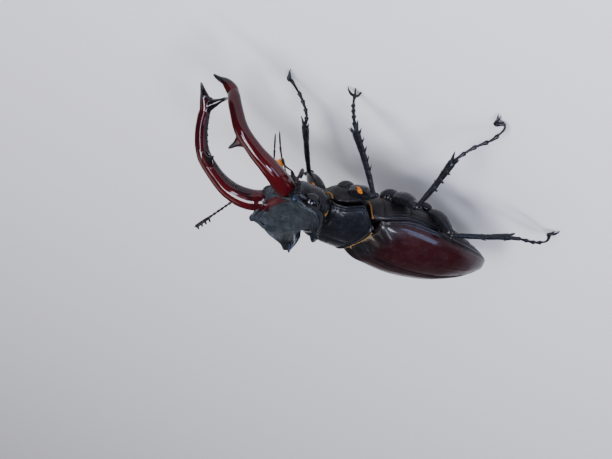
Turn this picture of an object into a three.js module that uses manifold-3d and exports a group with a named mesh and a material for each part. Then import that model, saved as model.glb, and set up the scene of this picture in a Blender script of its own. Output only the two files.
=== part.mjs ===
// Stag beetle, Lucanus cervus, large male, life size, in millimetres.
// The animal stands on a flat surface (z = 0) with its front raised and its head lowered.
// It faces -Y, its left side is +X.  Every solid is first shaped in the body frame:
//   x = the animal's left, y = backwards from the base of the elytra, z = dorsal,
// with z = 0 at the side margin of the elytra.  placeOnGround() then pitches the body.
import * as THREE from 'three';
import { mergeVertices } from 'three/addons/utils/BufferGeometryUtils.js';
import Module from 'manifold-3d';

const wasm = await Module();
wasm.setup();

// ---------------------------------------------------------------- driving dimensions
const GAP = 0.22;                 // clearance kept between neighbouring plates
const STANCE_SLOPE = 0.38;        // rise of the body axis over its length
const STANCE_DEPTH = -22.3;       // level of the ground under the base of the elytra

const ELYTRA_LENGTH = 31.0;
// stations: [fraction of length, value]
const ELYTRA_HALF_WIDTH = [[0, 8.4], [0.06, 9.6], [0.2, 10.8], [0.38, 11.25], [0.6, 10.3], [0.8, 7.5], [0.92, 4.7], [0.98, 2.4], [1, 1.2]];
const ELYTRA_CROWN = [[0, 3.1], [0.15, 5.8], [0.35, 6.4], [0.6, 5.7], [0.8, 4.0], [0.93, 1.9], [1, 0.3]];
const ELYTRA_MARGIN = [[0, 0.9], [0.2, -0.4], [0.6, 0.35], [1, -0.7]];

const PRONOTUM_FRONT = -11.6, PRONOTUM_BACK = -1.0;
const PRONOTUM_HALF_WIDTH = [[0, 7.2], [0.12, 8.2], [0.35, 9.2], [0.6, 9.9], [0.74, 9.4], [0.88, 8.5], [1, 7.8]];
const PRONOTUM_MARGIN = [[0, -0.4], [0.25, 0.1], [0.6, -0.9], [0.8, 0.9], [1, 2.4]];
const PRONOTUM_CROWN = [[0, 3.5], [0.3, 4.2], [0.6, 4.5], [1, 4.4]];

const HEAD_PITCH = 20 * Math.PI / 180;          // the head bends down from the body axis
const HEAD_ORIGIN = [0, -11.5, 0.5];
const HEAD_HALF_WIDTH = [[-9.5, 6.4], [-8.9, 8.5], [-8.2, 9.3], [-7, 8.8], [-5.4, 8.6], [-4, 9.3], [-2.8, 9.8], [-1.6, 8.8], [-0.9, 7.4], [-0.4, 5.8]];
const HEAD_CROWN = [[-9.5, 2.4], [-8.3, 3.2], [-7, 3.6], [-5, 4.0], [-3, 4.2], [-1.6, 4.4], [-0.9, 4.5], [-0.4, 4.1]];
const HEAD_RIM = [[-9.5, 0.8], [-8.3, 2.5], [-7, 1.5], [-5.4, 1.0], [-4, 0.7], [-2.8, 0.5], [-1.6, 0.6], [-0.4, 0]];
const HEAD_SIDE = [[-9.5, 1.8], [-8.3, 4.2], [-7, 3.6], [-5.4, 3.4], [-4, 3.4], [-2.8, 3.3], [-1.6, 2.6], [-0.4, 1.2]];
const HEAD_CHIN = [[-9.5, 0.2], [-8.3, -1.7], [-6, -3.2], [-3, -3.6], [-0.4, -2.4]];
const CREST = [[9.2, -5.2, 4.9, 4.2], [9.7, -3.0, 5.1, 4.0], [8.7, -0.9, 5.45, 3.8], [6.9, 0.45, 6.1, 3.6], [5.0, 1.1, 7.5, 3.6], [3.9, 1.0, 7.2, 4.2], [3.2, 0.5, 5.2, 3.9]];   // x, y, top, foot
const CREST_THICKNESS = 0.5;
const EYE_CENTRE = [9.0, -4.65, 2.7], EYE_RADIUS = 1.6;

const MANDIBLE_LINE = [[4.9, -20.6, -0.9], [7.18, -23.03, -0.94], [9.12, -27.02, -2.32], [9.27, -31.09, -4.88], [8.82, -34.56, -8.29], [7.83, -36.23, -12.79], [6.09, -36.9, -17.5]];
const MANDIBLE_GIRTH = [[0, 2.05], [0.12, 2.1], [0.28, 1.85], [0.45, 1.55], [0.62, 1.45], [0.8, 1.32], [0.95, 1.35], [1, 1.1]];
const FORK_TIP = [2.85, -40.3, -20.5], FORK_INNER_TIP = [1.0, -34.4, -18.4];
const MEDIAN_TOOTH = { at: 0.58, tip: [3.2, -34.4, -5.9] };

const FRONT_LEGS = {
  right: { hip: [-4.4, -7.0, -5.6], knee: [-15.14, -6.13, -1.6], ankle: [-12.2, -11.11, -15.2], foot: [-8.07, -10.28, -26.21], bends: [[-10.93, -11.26, -18.88], [-9.41, -10.93, -21.92]] },
  left: { hip: [4.4, -7.0, -5.6], knee: [12.94, -7.38, -13.31], ankle: [1.78, -15.55, -18.46], foot: [3.52, -20.4, -30.07], bends: [[1.65, -15.77, -21.01], [2.17, -17.47, -24.76]] },
};
const MID_LEGS = {
  right: { hip: [-4.8, 3.5, -7.0], knee: [-15.36, 4.05, -2.12], ankle: [-26.55, 4.45, -9.64], foot: [-34.18, 9.47, -18.7], bends: [[-29.49, 6.94, -12.4], [-32.38, 9.75, -14.62], [-34.3, 10.7, -17.1]] },
  left: { hip: [4.8, 3.5, -7.0], knee: [14.85, 5.47, -1.44], ankle: [27.2, 6.5, -7.6], foot: [29.07, 13.01, -17.36], bends: [[28.4, 8.7, -10.2], [29.4, 11.4, -13.6]] },
};
const HIND_LEGS = {
  right: { hip: [-4.8, 11.5, -6.8], knee: [-14.4, 13.85, 0.85], ankle: [-16.16, 27.37, -2.45], foot: [-14.78, 39.19, -7.4], bends: [[-15.82, 30.85, -2.84], [-15.2, 34.6, -3.5], [-14.7, 37.7, -5.1]] },
  left: { hip: [4.8, 11.5, -6.8], knee: [14.18, 15.5, 0.57], ankle: [20.71, 26.55, -4.42], foot: [19.02, 38.57, -7.64], bends: [[20.5, 30.4, -4.9], [19.9, 34.2, -5.6]] },
};

const ANTENNAE = {
  right: { base: [-9.35, -20.4, -0.5], elbow: [-13.15, -23.02, 0.07], tip: [-9.6, -20.2, -4.2] },
  left: { base: [9.4, -20.2, -0.8], elbow: [14.84, -23.24, -2.34], tip: [19.5, -28.8, 4.2] },
};

// ---------------------------------------------------------------- small tools
// smooth monotone curve through [x, value] stations
function profile(stations, x) {
  const n = stations.length;
  if (x <= stations[0][0]) return stations[0][1];
  if (x >= stations[n - 1][0]) return stations[n - 1][1];
  const h = [], d = [];
  for (let i = 0; i < n - 1; i++) { h.push(stations[i + 1][0] - stations[i][0]); d.push((stations[i + 1][1] - stations[i][1]) / h[i]); }
  const m = [d[0]];
  for (let i = 1; i < n - 1; i++) {
    if (d[i - 1] * d[i] <= 0) m.push(0);
    else { const w1 = 2 * h[i] + h[i - 1], w2 = h[i] + 2 * h[i - 1]; m.push((w1 + w2) / (w1 / d[i - 1] + w2 / d[i])); }
  }
  m.push(d[n - 2]);
  let i = 0; while (x > stations[i + 1][0]) i++;
  const t = (x - stations[i][0]) / h[i], t2 = t * t, t3 = t2 * t;
  return (2 * t3 - 3 * t2 + 1) * stations[i][1] + (t3 - 2 * t2 + t) * h[i] * m[i] + (-2 * t3 + 3 * t2) * stations[i + 1][1] + (t3 - t2) * h[i] * m[i + 1];
}
const lerp = (a, b, t) => a + (b - a) * t;
const mix = (p, q, t) => [0, 1, 2].map(k => lerp(p[k], q[k], t));
const vec = p => new THREE.Vector3(p[0], p[1], p[2]);
const mirror = p => [-p[0], p[1], p[2]];
const sideOf = side => (side === 'left' ? 1 : -1);

// a sphere re-shaped row by row: point(row, v) gives each vertex, rows 0 and last are single points
function rowSolid(rows, around, point) {
  const g = new THREE.SphereGeometry(1, around, rows - 1);
  const pos = g.attributes.position, uv = g.attributes.uv;
  for (let i = 0; i < pos.count; i++) {
    const row = Math.round((1 - uv.getY(i)) * (rows - 1));
    const v = row === 0 || row === rows - 1 ? 0 : (Math.round(uv.getX(i) * around) % around) / around;
    const p = point(row, v);
    pos.setXYZ(i, p[0], p[1], p[2]);
  }
  return solid(g);
}
function solid(g) {
  g.deleteAttribute('normal'); g.deleteAttribute('uv');
  const m = mergeVertices(g, 1e-4);
  const p = Float32Array.from(m.attributes.position.array), t = [];
  const idx = m.index.array;
  for (let i = 0; i < idx.length; i += 3) if (idx[i] !== idx[i + 1] && idx[i + 1] !== idx[i + 2] && idx[i] !== idx[i + 2]) t.push(idx[i], idx[i + 1], idx[i + 2]);
  let volume = 0;
  const P = k => [p[3 * k], p[3 * k + 1], p[3 * k + 2]];
  for (let i = 0; i < t.length; i += 3) {
    const [a, b, c] = [P(t[i]), P(t[i + 1]), P(t[i + 2])];
    volume += a[0] * (b[1] * c[2] - b[2] * c[1]) + a[1] * (b[2] * c[0] - b[0] * c[2]) + a[2] * (b[0] * c[1] - b[1] * c[0]);
  }
  if (volume < 0) for (let i = 0; i < t.length; i += 3) { const s = t[i + 1]; t[i + 1] = t[i + 2]; t[i + 2] = s; }
  return new wasm.Manifold(new wasm.Mesh({ numProp: 3, vertProperties: p, triVerts: Uint32Array.from(t) }));
}
function geometryOf(m) {
  const mesh = m.getMesh(), g = new THREE.BufferGeometry(), n = mesh.numProp, p = [];
  for (let i = 0; i < mesh.vertProperties.length / n; i++) p.push(mesh.vertProperties[i * n], mesh.vertProperties[i * n + 1], mesh.vertProperties[i * n + 2]);
  g.setAttribute('position', new THREE.Float32BufferAttribute(p, 3));
  g.setIndex(Array.from(mesh.triVerts));
  return g;
}
// the same solid grown outwards by d along its vertex normals
function grown(m, d = GAP) {
  const g = geometryOf(m);
  g.computeVertexNormals();
  const p = g.attributes.position, n = g.attributes.normal;
  for (let i = 0; i < p.count; i++) p.setXYZ(i, p.getX(i) + d * n.getX(i), p.getY(i) + d * n.getY(i), p.getZ(i) + d * n.getZ(i));
  return solid(g);
}
const join = (...list) => list.reduce((a, b) => a.add(b));
const cut = (m, ...tools) => tools.reduce((a, b) => a.subtract(b), m);
// keep only the largest of the bodies a cut leaves
function whole(m) {
  const bodies = m.decompose();
  let best = bodies[0];
  for (const b of bodies) if (b.volume() > best.volume()) best = b;
  return best;
}
// limb: rings along a smooth path; stations are [fraction, half-width, half-height]
function limb(points, stations, around, up = [0, 0, 1], roll = 0) {
  const path = new THREE.CatmullRomCurve3(points.map(vec), false, 'centripetal');
  const U = vec(up);
  const frames = stations.map(([f]) => {
    const c = path.getPointAt(Math.min(1, Math.max(0, f))), t = path.getTangentAt(Math.min(1, Math.max(0, f)));
    const side = new THREE.Vector3().crossVectors(t, U).normalize(), top = new THREE.Vector3().crossVectors(side, t).normalize();
    return { c, side, top };
  });
  return rowSolid(stations.length, around, (row, v) => {
    const a = 2 * Math.PI * v + roll, f = frames[row], [, rw, rh = rw] = stations[row];
    const p = f.c.clone().addScaledVector(f.side, rw * Math.cos(a)).addScaledVector(f.top, rh * Math.sin(a));
    return [p.x, p.y, p.z];
  });
}
// spine: a short curved cone from a to b
function spine(a, b, r, around = 4, bend = [0, 0, 0]) {
  const m = mix(a, b, 0.55).map((v, k) => v + bend[k]);
  return limb([a, m, b], [[0, 0], [0.02, r], [0.6, r * 0.55], [1, 0]], around, [0.13, 0.31, 0.94]);
}
function ellipsoid(c, r, rows = 8, around = 12, turn = null) {
  const R = new THREE.Matrix4(); if (turn) R.makeRotationFromEuler(new THREE.Euler(...turn));
  return rowSolid(rows, around, (row, v) => {
    const th = Math.PI * row / (rows - 1), a = 2 * Math.PI * v;
    const p = new THREE.Vector3(r[0] * Math.sin(th) * Math.cos(a), r[1] * Math.cos(th), r[2] * Math.sin(th) * Math.sin(a)).applyMatrix4(R);
    return [c[0] + p.x, c[1] + p.y, c[2] + p.z];
  });
}
const fromHead = ([x, y, z]) => {
  const c = Math.cos(HEAD_PITCH), s = Math.sin(HEAD_PITCH);
  return [HEAD_ORIGIN[0] + x, HEAD_ORIGIN[1] + y * c - z * s, HEAD_ORIGIN[2] + y * s + z * c];
};

// ---------------------------------------------------------------- elytra
function elytraPoint(t, s) {      // s: 0 at the suture, 1 at the side margin
  const a = s * Math.PI / 2;
  return [
    profile(ELYTRA_HALF_WIDTH, t) * Math.sin(a) ** (2 / 2.3),
    ELYTRA_LENGTH * t,
    profile(ELYTRA_MARGIN, t) * Math.sin(a) ** 4 + profile(ELYTRA_CROWN, t) * Math.cos(a) ** (2 / 2.1)];
}
function elytron(side) {
  const ts = [0, 0.06, 0.15, 0.27, 0.4, 0.53, 0.65, 0.76, 0.86, 0.94, 0.985];
  const top = 9, bottom = 4, around = top + bottom, inner = GAP / 2;
  const ring = (t, k) => {
    if (k < top) { const p = elytraPoint(t, k / (top - 1)); return [Math.max(p[0], inner), p[1], p[2] + (k === top - 1 ? 0.12 : 0)]; }
    const w = profile(ELYTRA_HALF_WIDTH, t), z = profile(ELYTRA_MARGIN, t) - 0.25, f = (k - top) / (bottom - 1);
    return [Math.max(inner, lerp(w * 0.985, inner, f)), ELYTRA_LENGTH * t, Math.min(z, profile(ELYTRA_CROWN, t) - 0.4)];
  };
  return rowSolid(ts.length + 2, around, (row, v) => {
    const k = Math.round(v * around);
    let p;
    if (row === 0 || row === ts.length + 1) {
      const t = row === 0 ? 0 : 1, q = elytraPoint(t, 0.45);
      p = [Math.max(q[0] * 0.8, inner + 0.1), q[1] + (row === 0 ? 0 : 0), q[2] * (row === 0 ? 0.6 : 0.4)];
    } else p = ring(ts[row - 1], k);
    return side === 'left' ? p : mirror(p);
  });
}

// ---------------------------------------------------------------- thorax plates and abdomen
function pronotum() {
  const us = [0, 0.1, 0.27, 0.45, 0.6, 0.76, 1], top = 13, bottom = 3, around = top + bottom;
  const ring = (u, k) => {
    const w = profile(PRONOTUM_HALF_WIDTH, u), zm = profile(PRONOTUM_MARGIN, u), zc = profile(PRONOTUM_CROWN, u), y = lerp(PRONOTUM_FRONT, PRONOTUM_BACK, u);
    if (k < top) {
      const e = Math.sin((k / (top - 1) - 0.5) * Math.PI), s = Math.abs(e);
      const z = zm + (zc - zm) * (1 - s ** 2.8) ** (1 / 1.5);
      const fold = u < 0.05 ? 0.35 : 0;
      return [w * e, y + 0.9 * (1 - s * s) * (1 - u) * (u < 0.2 ? 1 : 0.6) - 0.35 * (1 - s) * u, z - fold];
    }
    const f = (k - top + 1) / (bottom + 1);
    return [lerp(w * 0.92, -w * 0.92, f), y, zm - 0.55 - 0.3 * Math.sin(Math.PI * f)];
  };
  return rowSolid(us.length + 2, around, (row, v) => {
    if (row === 0) return [0, PRONOTUM_FRONT + 1.4, 1.4];
    if (row === us.length + 1) return [0, PRONOTUM_BACK - 0.6, 2.6];
    return ring(us[row - 1], Math.round(v * around));
  });
}
// the under side: flat on top, curved below; sections are [y, halfWidth, top, bottom, side level]
function underBody(sections, around, round = 2.2) {
  const roof = 4, low = around - roof;
  return rowSolid(sections.length + 2, around, (row, v) => {
    const [y, w, top, bottom, side] = sections[Math.min(sections.length - 1, Math.max(0, row - 1))];
    if (row === 0 || row === sections.length + 1) return [0, y, (top + bottom) / 2];
    const k = Math.round(v * around);
    if (k < roof) return [lerp(w * 0.96, -w * 0.96, k / (roof - 1)), y, top];
    const a = Math.PI * (k - roof) / (low - 1), c = Math.cos(a), e = 2 / round;
    return [-w * Math.sign(c) * Math.abs(c) ** e, y, side - (side - bottom) * Math.sin(a) ** e];
  });
}

// ---------------------------------------------------------------- head
function headBlock() {
  const ys = [-9.5, -8.9, -8.3, -7.2, -5.6, -4.1, -2.8, -1.6, -0.9, -0.4], top = 11, bottom = 5, around = top + bottom;
  const ring = (y, k) => {
    const w = profile(HEAD_HALF_WIDTH, y), side = profile(HEAD_SIDE, y), crown = profile(HEAD_CROWN, y), rim = profile(HEAD_RIM, y), chin = profile(HEAD_CHIN, y);
    if (k < top) {
      const e = Math.sin((k / (top - 1) - 0.5) * Math.PI), s = Math.abs(e);
      const edge = s > 0.999;
      return [w * e, y, edge ? side : crown + rim * s ** 3];
    }
    const a = Math.PI * (k - top + 1) / (bottom + 1), c = Math.cos(a), s = Math.sin(a);
    return [w * 0.97 * Math.sign(c) * Math.abs(c) ** 0.75, y, side - (side - chin) * s ** 0.8];
  };
  return rowSolid(ys.length + 2, around, (row, v) => {
    if (row === 0) return fromHead([0, -9.7, 1.3]);
    if (row === ys.length + 1) return fromHead([0, -0.4, 0.6]);
    return fromHead(ring(ys[row - 1], Math.round(v * around)));
  });
}
function crest(side) {
  const s = sideOf(side), n = CREST.length, around = 5;
  const curve = new THREE.CatmullRomCurve3(CREST.map(c => vec([c[0], c[1], 0])), false, 'centripetal');
  return rowSolid(n + 2, around, (row, v) => {
    const i = Math.min(n - 1, Math.max(0, row - 1)), c = CREST[i], t = curve.getTangentAt(i / (n - 1));
    const nx = -t.y, ny = t.x, mid = (c[2] + c[3]) / 2, h = (c[2] - c[3]) / 2 + 0.3;
    if (row === 0 || row === n + 1) return fromHead([s * (c[0] + (row ? -0.25 : 0)), c[1], mid]);
    const a = 2 * Math.PI * v, cc = Math.cos(a), ss = Math.sin(a), th = CREST_THICKNESS * (ss > 0 ? 1 : 1.5);
    return fromHead([s * (c[0] + nx * th * cc), c[1] + ny * th * cc, mid + h * ss]);
  });
}
function labrum() {
  const half = ellipsoid([0, 0, 0], [3.3, 1.9, 0.75], 5, 8);
  return half.rotate([0, 0, 0]).translate(fromHead([0, -10.0, 1.7]));
}
function mandible(side) {
  const s = p => (side === 'left' ? p : mirror(p));
  const fs = [0, 0.03, 0.14, 0.27, 0.4, 0.53, 0.66, 0.78, 0.89, 0.97, 1];
  const line = MANDIBLE_LINE.map(s);
  const shaft = limb(line, fs.map((f, i) => [f, ...(i === 0 || i === fs.length - 1 ? [0, 0] : [profile(MANDIBLE_GIRTH, f), profile(MANDIBLE_GIRTH, f) * 1.08])]), 9);
  const path = new THREE.CatmullRomCurve3(line.map(vec), false, 'centripetal');
  const at = f => { const p = path.getPointAt(f); return [p.x, p.y, p.z]; };
  const root = MANDIBLE_LINE[MANDIBLE_LINE.length - 1];
  const apical = limb([s([root[0] + 0.3, root[1] + 0.2, root[2] + 1.6]), s(mix(root, FORK_TIP, 0.3)).map((v, k) => v + [0, -0.1, -0.3][k]), s(mix(root, FORK_TIP, 0.7)), s(FORK_TIP)],
    [[0, 0], [0.05, 1.0], [0.25, 1.2], [0.5, 0.95], [0.75, 0.65], [0.95, 0.32], [1, 0]], 6);
  const inner = limb([s([root[0] + 0.5, root[1] + 0.1, root[2] + 1.2]), s(mix(root, FORK_INNER_TIP, 0.45)).map((v, k) => v + [0, 0, 0.25][k]), s(FORK_INNER_TIP)],
    [[0, 0], [0.06, 1.05], [0.35, 0.85], [0.6, 0.52], [0.92, 0.28], [1, 0]], 6);
  const base = at(MEDIAN_TOOTH.at), tip = s(MEDIAN_TOOTH.tip);
  const along = path.getTangentAt(MEDIAN_TOOTH.at), into = vec(tip).sub(vec(base)).normalize();
  const thin = new THREE.Vector3().crossVectors(along, into).normalize().toArray();
  const median = limb([mix(base, tip, 0.02), mix(base, tip, 0.4), mix(base, tip, 0.75), tip],
    [[0, 0], [0.03, 3.1, 0.95], [0.2, 2.1, 0.9], [0.36, 1.25, 0.75], [0.6, 0.62, 0.55], [0.93, 0.3, 0.28], [1, 0]], 7, thin);
  const small = [];
  const toward = (f, len) => {        // inward direction, across the shaft
    const p = at(f), t = path.getTangentAt(f), q = vec([-(side === 'left' ? 1 : -1), 0.8, 0.1]);
    q.addScaledVector(t, -q.dot(t)).normalize();
    const r = profile(MANDIBLE_GIRTH, f);
    return [p.map((v, k) => v + q.getComponent(k) * r * 0.55), p.map((v, k) => v + q.getComponent(k) * (r + len))];
  };
  for (const [f, len] of [[0.3, 1.0], [0.68, 0.5], [0.75, 0.6], [0.82, 0.55], [0.89, 0.6]]) { const [a, b] = toward(f, len); small.push(spine(a, b, 0.55)); }
  return join(shaft, apical, inner, median, ...small);
}

// ---------------------------------------------------------------- legs
const LEG_SIZE = {
  front: { coxa: [2.3, 2.1, 2.0], femur: 1.75, tibia: 1.0, spines: 5, tarsus: 0.44, sag: 0 },
  mid: { coxa: [2.3, 2.3, 1.9], femur: 1.75, tibia: 0.9, spines: 3, tarsus: 0.42, sag: -0.7 },
  hind: { coxa: [3.2, 1.9, 1.6], femur: 1.5, tibia: 0.82, spines: 2, tarsus: 0.4, sag: -1.3 },
};
function legSolids(kind, side, joints) {
  const { hip, knee, ankle, foot } = joints, size = LEG_SIZE[kind], s = sideOf(side);
  const out = [s, 0, 0];
  const coxaCentre = [hip[0] - s * (kind === 'hind' ? 0.2 : 0), hip[1], hip[2] + 0.5];
  const coxa = ellipsoid(coxaCentre, size.coxa, 6, 7);
  const hipOut = mix(coxaCentre, knee, (Math.min(size.coxa[0], 2.4) + GAP) / vec(coxaCentre).distanceTo(vec(knee)));
  const lift = mix(hip, knee, 0.55).map((v, k) => v + [0, 0, size.sag][k]);
  const femur = limb([hipOut, lift, knee], [[0, 0], [0.03, 0.8], [0.2, size.femur * 0.92, size.femur * 0.8], [0.5, size.femur, size.femur * 0.85], [0.88, 1.15, 1.0], [0.97, 0.9, 0.8], [1, 0]], 7);
  // tibia: starts just past the knee and broadens to a spined end
  const span = vec(ankle).sub(vec(knee)), len = span.length(), dir = span.clone().normalize();
  const hinge = vec(knee).addScaledVector(dir, 0.35).toArray();
  const bow = vec(knee).sub(vec(hip)).normalize(); bow.addScaledVector(dir, -bow.dot(dir)).normalize();
  const belly = mix(hinge, ankle, 0.5).map((v, k) => v + bow.getComponent(k) * 0.35);
  const r = size.tibia;
  const tube = limb([hinge, belly, ankle], [[0, 0], [0.03, 0.5], [0.3, 0.62 * r + 0.08], [0.6, 0.8 * r], [0.86, r, r * 0.85], [0.97, r * 1.05, r * 0.85], [1, 0]], 5);
  const outward = bow.clone();
  const spines = [];
  for (let i = 0; i < size.spines; i++) {
    const f = lerp(kind === 'front' ? 0.34 : 0.45, kind === 'front' ? 0.9 : 0.8, size.spines === 1 ? 0 : i / (size.spines - 1));
    const c = vec(mix(hinge, ankle, f)).addScaledVector(outward, 0.35 * (1 - (2 * f - 1) ** 2));
    const l = (kind === 'front' ? lerp(1.2, 2.0, f) : 1.35) + 0.2;
    spines.push(spine(c.clone().addScaledVector(outward, 0.25).toArray(), c.clone().addScaledVector(outward, 0.45 + l).addScaledVector(dir, 0.75).toArray(), 0.5));
  }
  const across = new THREE.Vector3().crossVectors(dir, outward).normalize();
  for (const e of [1, -1]) {
    const c = vec(ankle).addScaledVector(dir, -0.5).addScaledVector(outward, e * 0.45);
    spines.push(spine(c.toArray(), c.clone().addScaledVector(dir, 2.1).addScaledVector(outward, e * (kind === 'front' ? 1.5 : 0.9)).addScaledVector(across, 0.2 * e).toArray(), 0.42));
  }
  const tibia = join(tube, ...spines);
  // tarsus: five joints and two claws; the last joint reaches down to the ground
  const start = vec(ankle).addScaledVector(dir, 0.1).toArray();
  const reach = vec(foot).sub(vec(start)), tl = reach.length(), rd = reach.clone().normalize();
  const up = vec([0, 0, 1]).addScaledVector(rd, -rd.z).normalize();
  const clawLength = 1.7;
  const endPad = vec(foot).addScaledVector(rd, -clawLength).addScaledVector(up, 0.25);
  const q = size.tarsus, beads = [];
  const joint = [0, 0.19, 0.36, 0.53, 0.69, 1];
  beads.push([0, 0], [0.015, q * 0.7]);
  for (let i = 0; i < 5; i++) { const a = joint[i], b = joint[i + 1]; if (i) beads.push([a + 0.012, q * 0.68]); beads.push([lerp(a, b, 0.78), q * (i === 4 ? 0.9 : 1.12)]); if (i === 4) beads.push([0.985, q * 0.8]); }
  beads.push([1, 0]);
  const tube2 = limb([start, ...joints.bends, endPad.toArray()], beads, 4, [0.13, 0.31, 0.94], Math.PI / 4);
  const wide = new THREE.Vector3().crossVectors(rd, up).normalize();
  const claws = [1, -1].map(e => {
    const a = endPad.clone().addScaledVector(rd, -0.4), b = vec(foot).addScaledVector(wide, e * 1.5);
    const m = endPad.clone().lerp(vec(foot), 0.45).addScaledVector(wide, e * 1.05).addScaledVector(up, 0.4);
    return limb([a.toArray(), m.toArray(), b.toArray()], [[0, 0], [0.03, 0.36], [0.45, 0.33], [0.97, 0.25], [1, 0]], 3, [0.13, 0.31, 0.94]);
  });
  const pad = endPad.clone().lerp(vec(foot), 0.35); // small sole between the claws
  const sole = limb([endPad.toArray(), pad.toArray(), vec(foot).addScaledVector(rd, -0.15).toArray()], [[0, 0], [0.06, 0.34], [0.94, 0.28], [1, 0]], 4, [0.13, 0.31, 0.94]);
  return { coxa, femur, tibia, tarsus: join(tube2, ...claws, sole) };
}

// ---------------------------------------------------------------- build in the body frame
const parts = {};
const elL = elytron('left'), elR = elytron('right');
const scut = rowSolid(6, 8, (row, v) => {
  const rows = [[-0.2, 0], [-0.2, 1.9], [0.9, 1.7], [2.0, 0.9], [2.7, 0.25], [2.9, 0]], [y, w] = rows[row], a = 2 * Math.PI * v;
  const crown = profile(ELYTRA_CROWN, y / ELYTRA_LENGTH) + 0.12;
  return [w * Math.cos(a), y + 0.1, crown - 0.3 + 0.34 * Math.sin(a) * (row === 0 || row === 5 ? 0 : 1)];
});
parts.scutellum = scut;
const scutTool = grown(scut, GAP);
const pron = pronotum();
parts.elytron_left = whole(cut(elL, scutTool, grown(pron)));
parts.elytron_right = whole(cut(elR, scutTool, grown(pron)));

const neck = limb([fromHead([0, -1.3, 0.6]), fromHead([0, 0.4, 0.5]), [0, -9.9, 0.7]], [[0, 0], [0.01, 5.2, 2.7], [0.5, 5.5, 3.0], [0.99, 5.2, 2.7], [1, 0]], 10);
parts.neck = neck;
parts.pronotum = whole(cut(pron, grown(neck), grown(scut)));

const prosternum = underBody([[-10.7, 6.2, -1.35, -4.2, -1.7], [-9.2, 7.5, -1.15, -6.1, -1.5], [-7, 8.4, -1.5, -7.0, -1.9], [-5.2, 8.6, -2.05, -6.8, -2.4], [-2.6, 6.8, -0.5, -5.2, -0.9]], 13);
const roofUnder = y => profile(ELYTRA_MARGIN, y / ELYTRA_LENGTH) - 0.25 - GAP - 0.03;
const plate = (y, w, bottom) => [y, w, roofUnder(y), bottom, roofUnder(y) - 0.35];
const thorax = underBody([[-2.3, 7.4, 0.4, -4.6, -0.4], [-0.5, 8.7, 0.35, -6.0, -0.6], plate(1.8, 9.6, -6.8), plate(7, 10.4, -7.0), plate(13.7, 10.2, -6.3)], 14);
const abdomenBody = underBody([plate(13.7 + GAP, 10.1, -6.2), plate(17, 9.7, -5.3), plate(21, 8.4, -4.1), plate(25, 6.3, -3.1), plate(28.4, 4.0, -2.3), [30.1, 1.9, -1.35, -1.75, -1.5]], 14);

const legs = {};
for (const [kind, set] of [['front', FRONT_LEGS], ['mid', MID_LEGS], ['hind', HIND_LEGS]])
  for (const side of ['left', 'right']) legs[kind + '_' + side] = legSolids(kind, side, set[side]);
const coxaTools = kind => ['left', 'right'].map(side => grown(legs[kind + '_' + side].coxa));
const pronTool = grown(pron);
const femurTools = kind => ['left', 'right'].map(side => grown(legs[kind + '_' + side].femur));
parts.prosternum = whole(cut(prosternum, grown(neck), ...coxaTools('front'), ...femurTools('front')));
parts.thorax_under = whole(cut(thorax, pronTool, grown(prosternum), ...coxaTools('mid'), ...coxaTools('hind'), ...femurTools('mid'), ...femurTools('hind')));
parts.abdomen = whole(cut(abdomenBody, ...coxaTools('hind'), ...femurTools('hind')));

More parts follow.
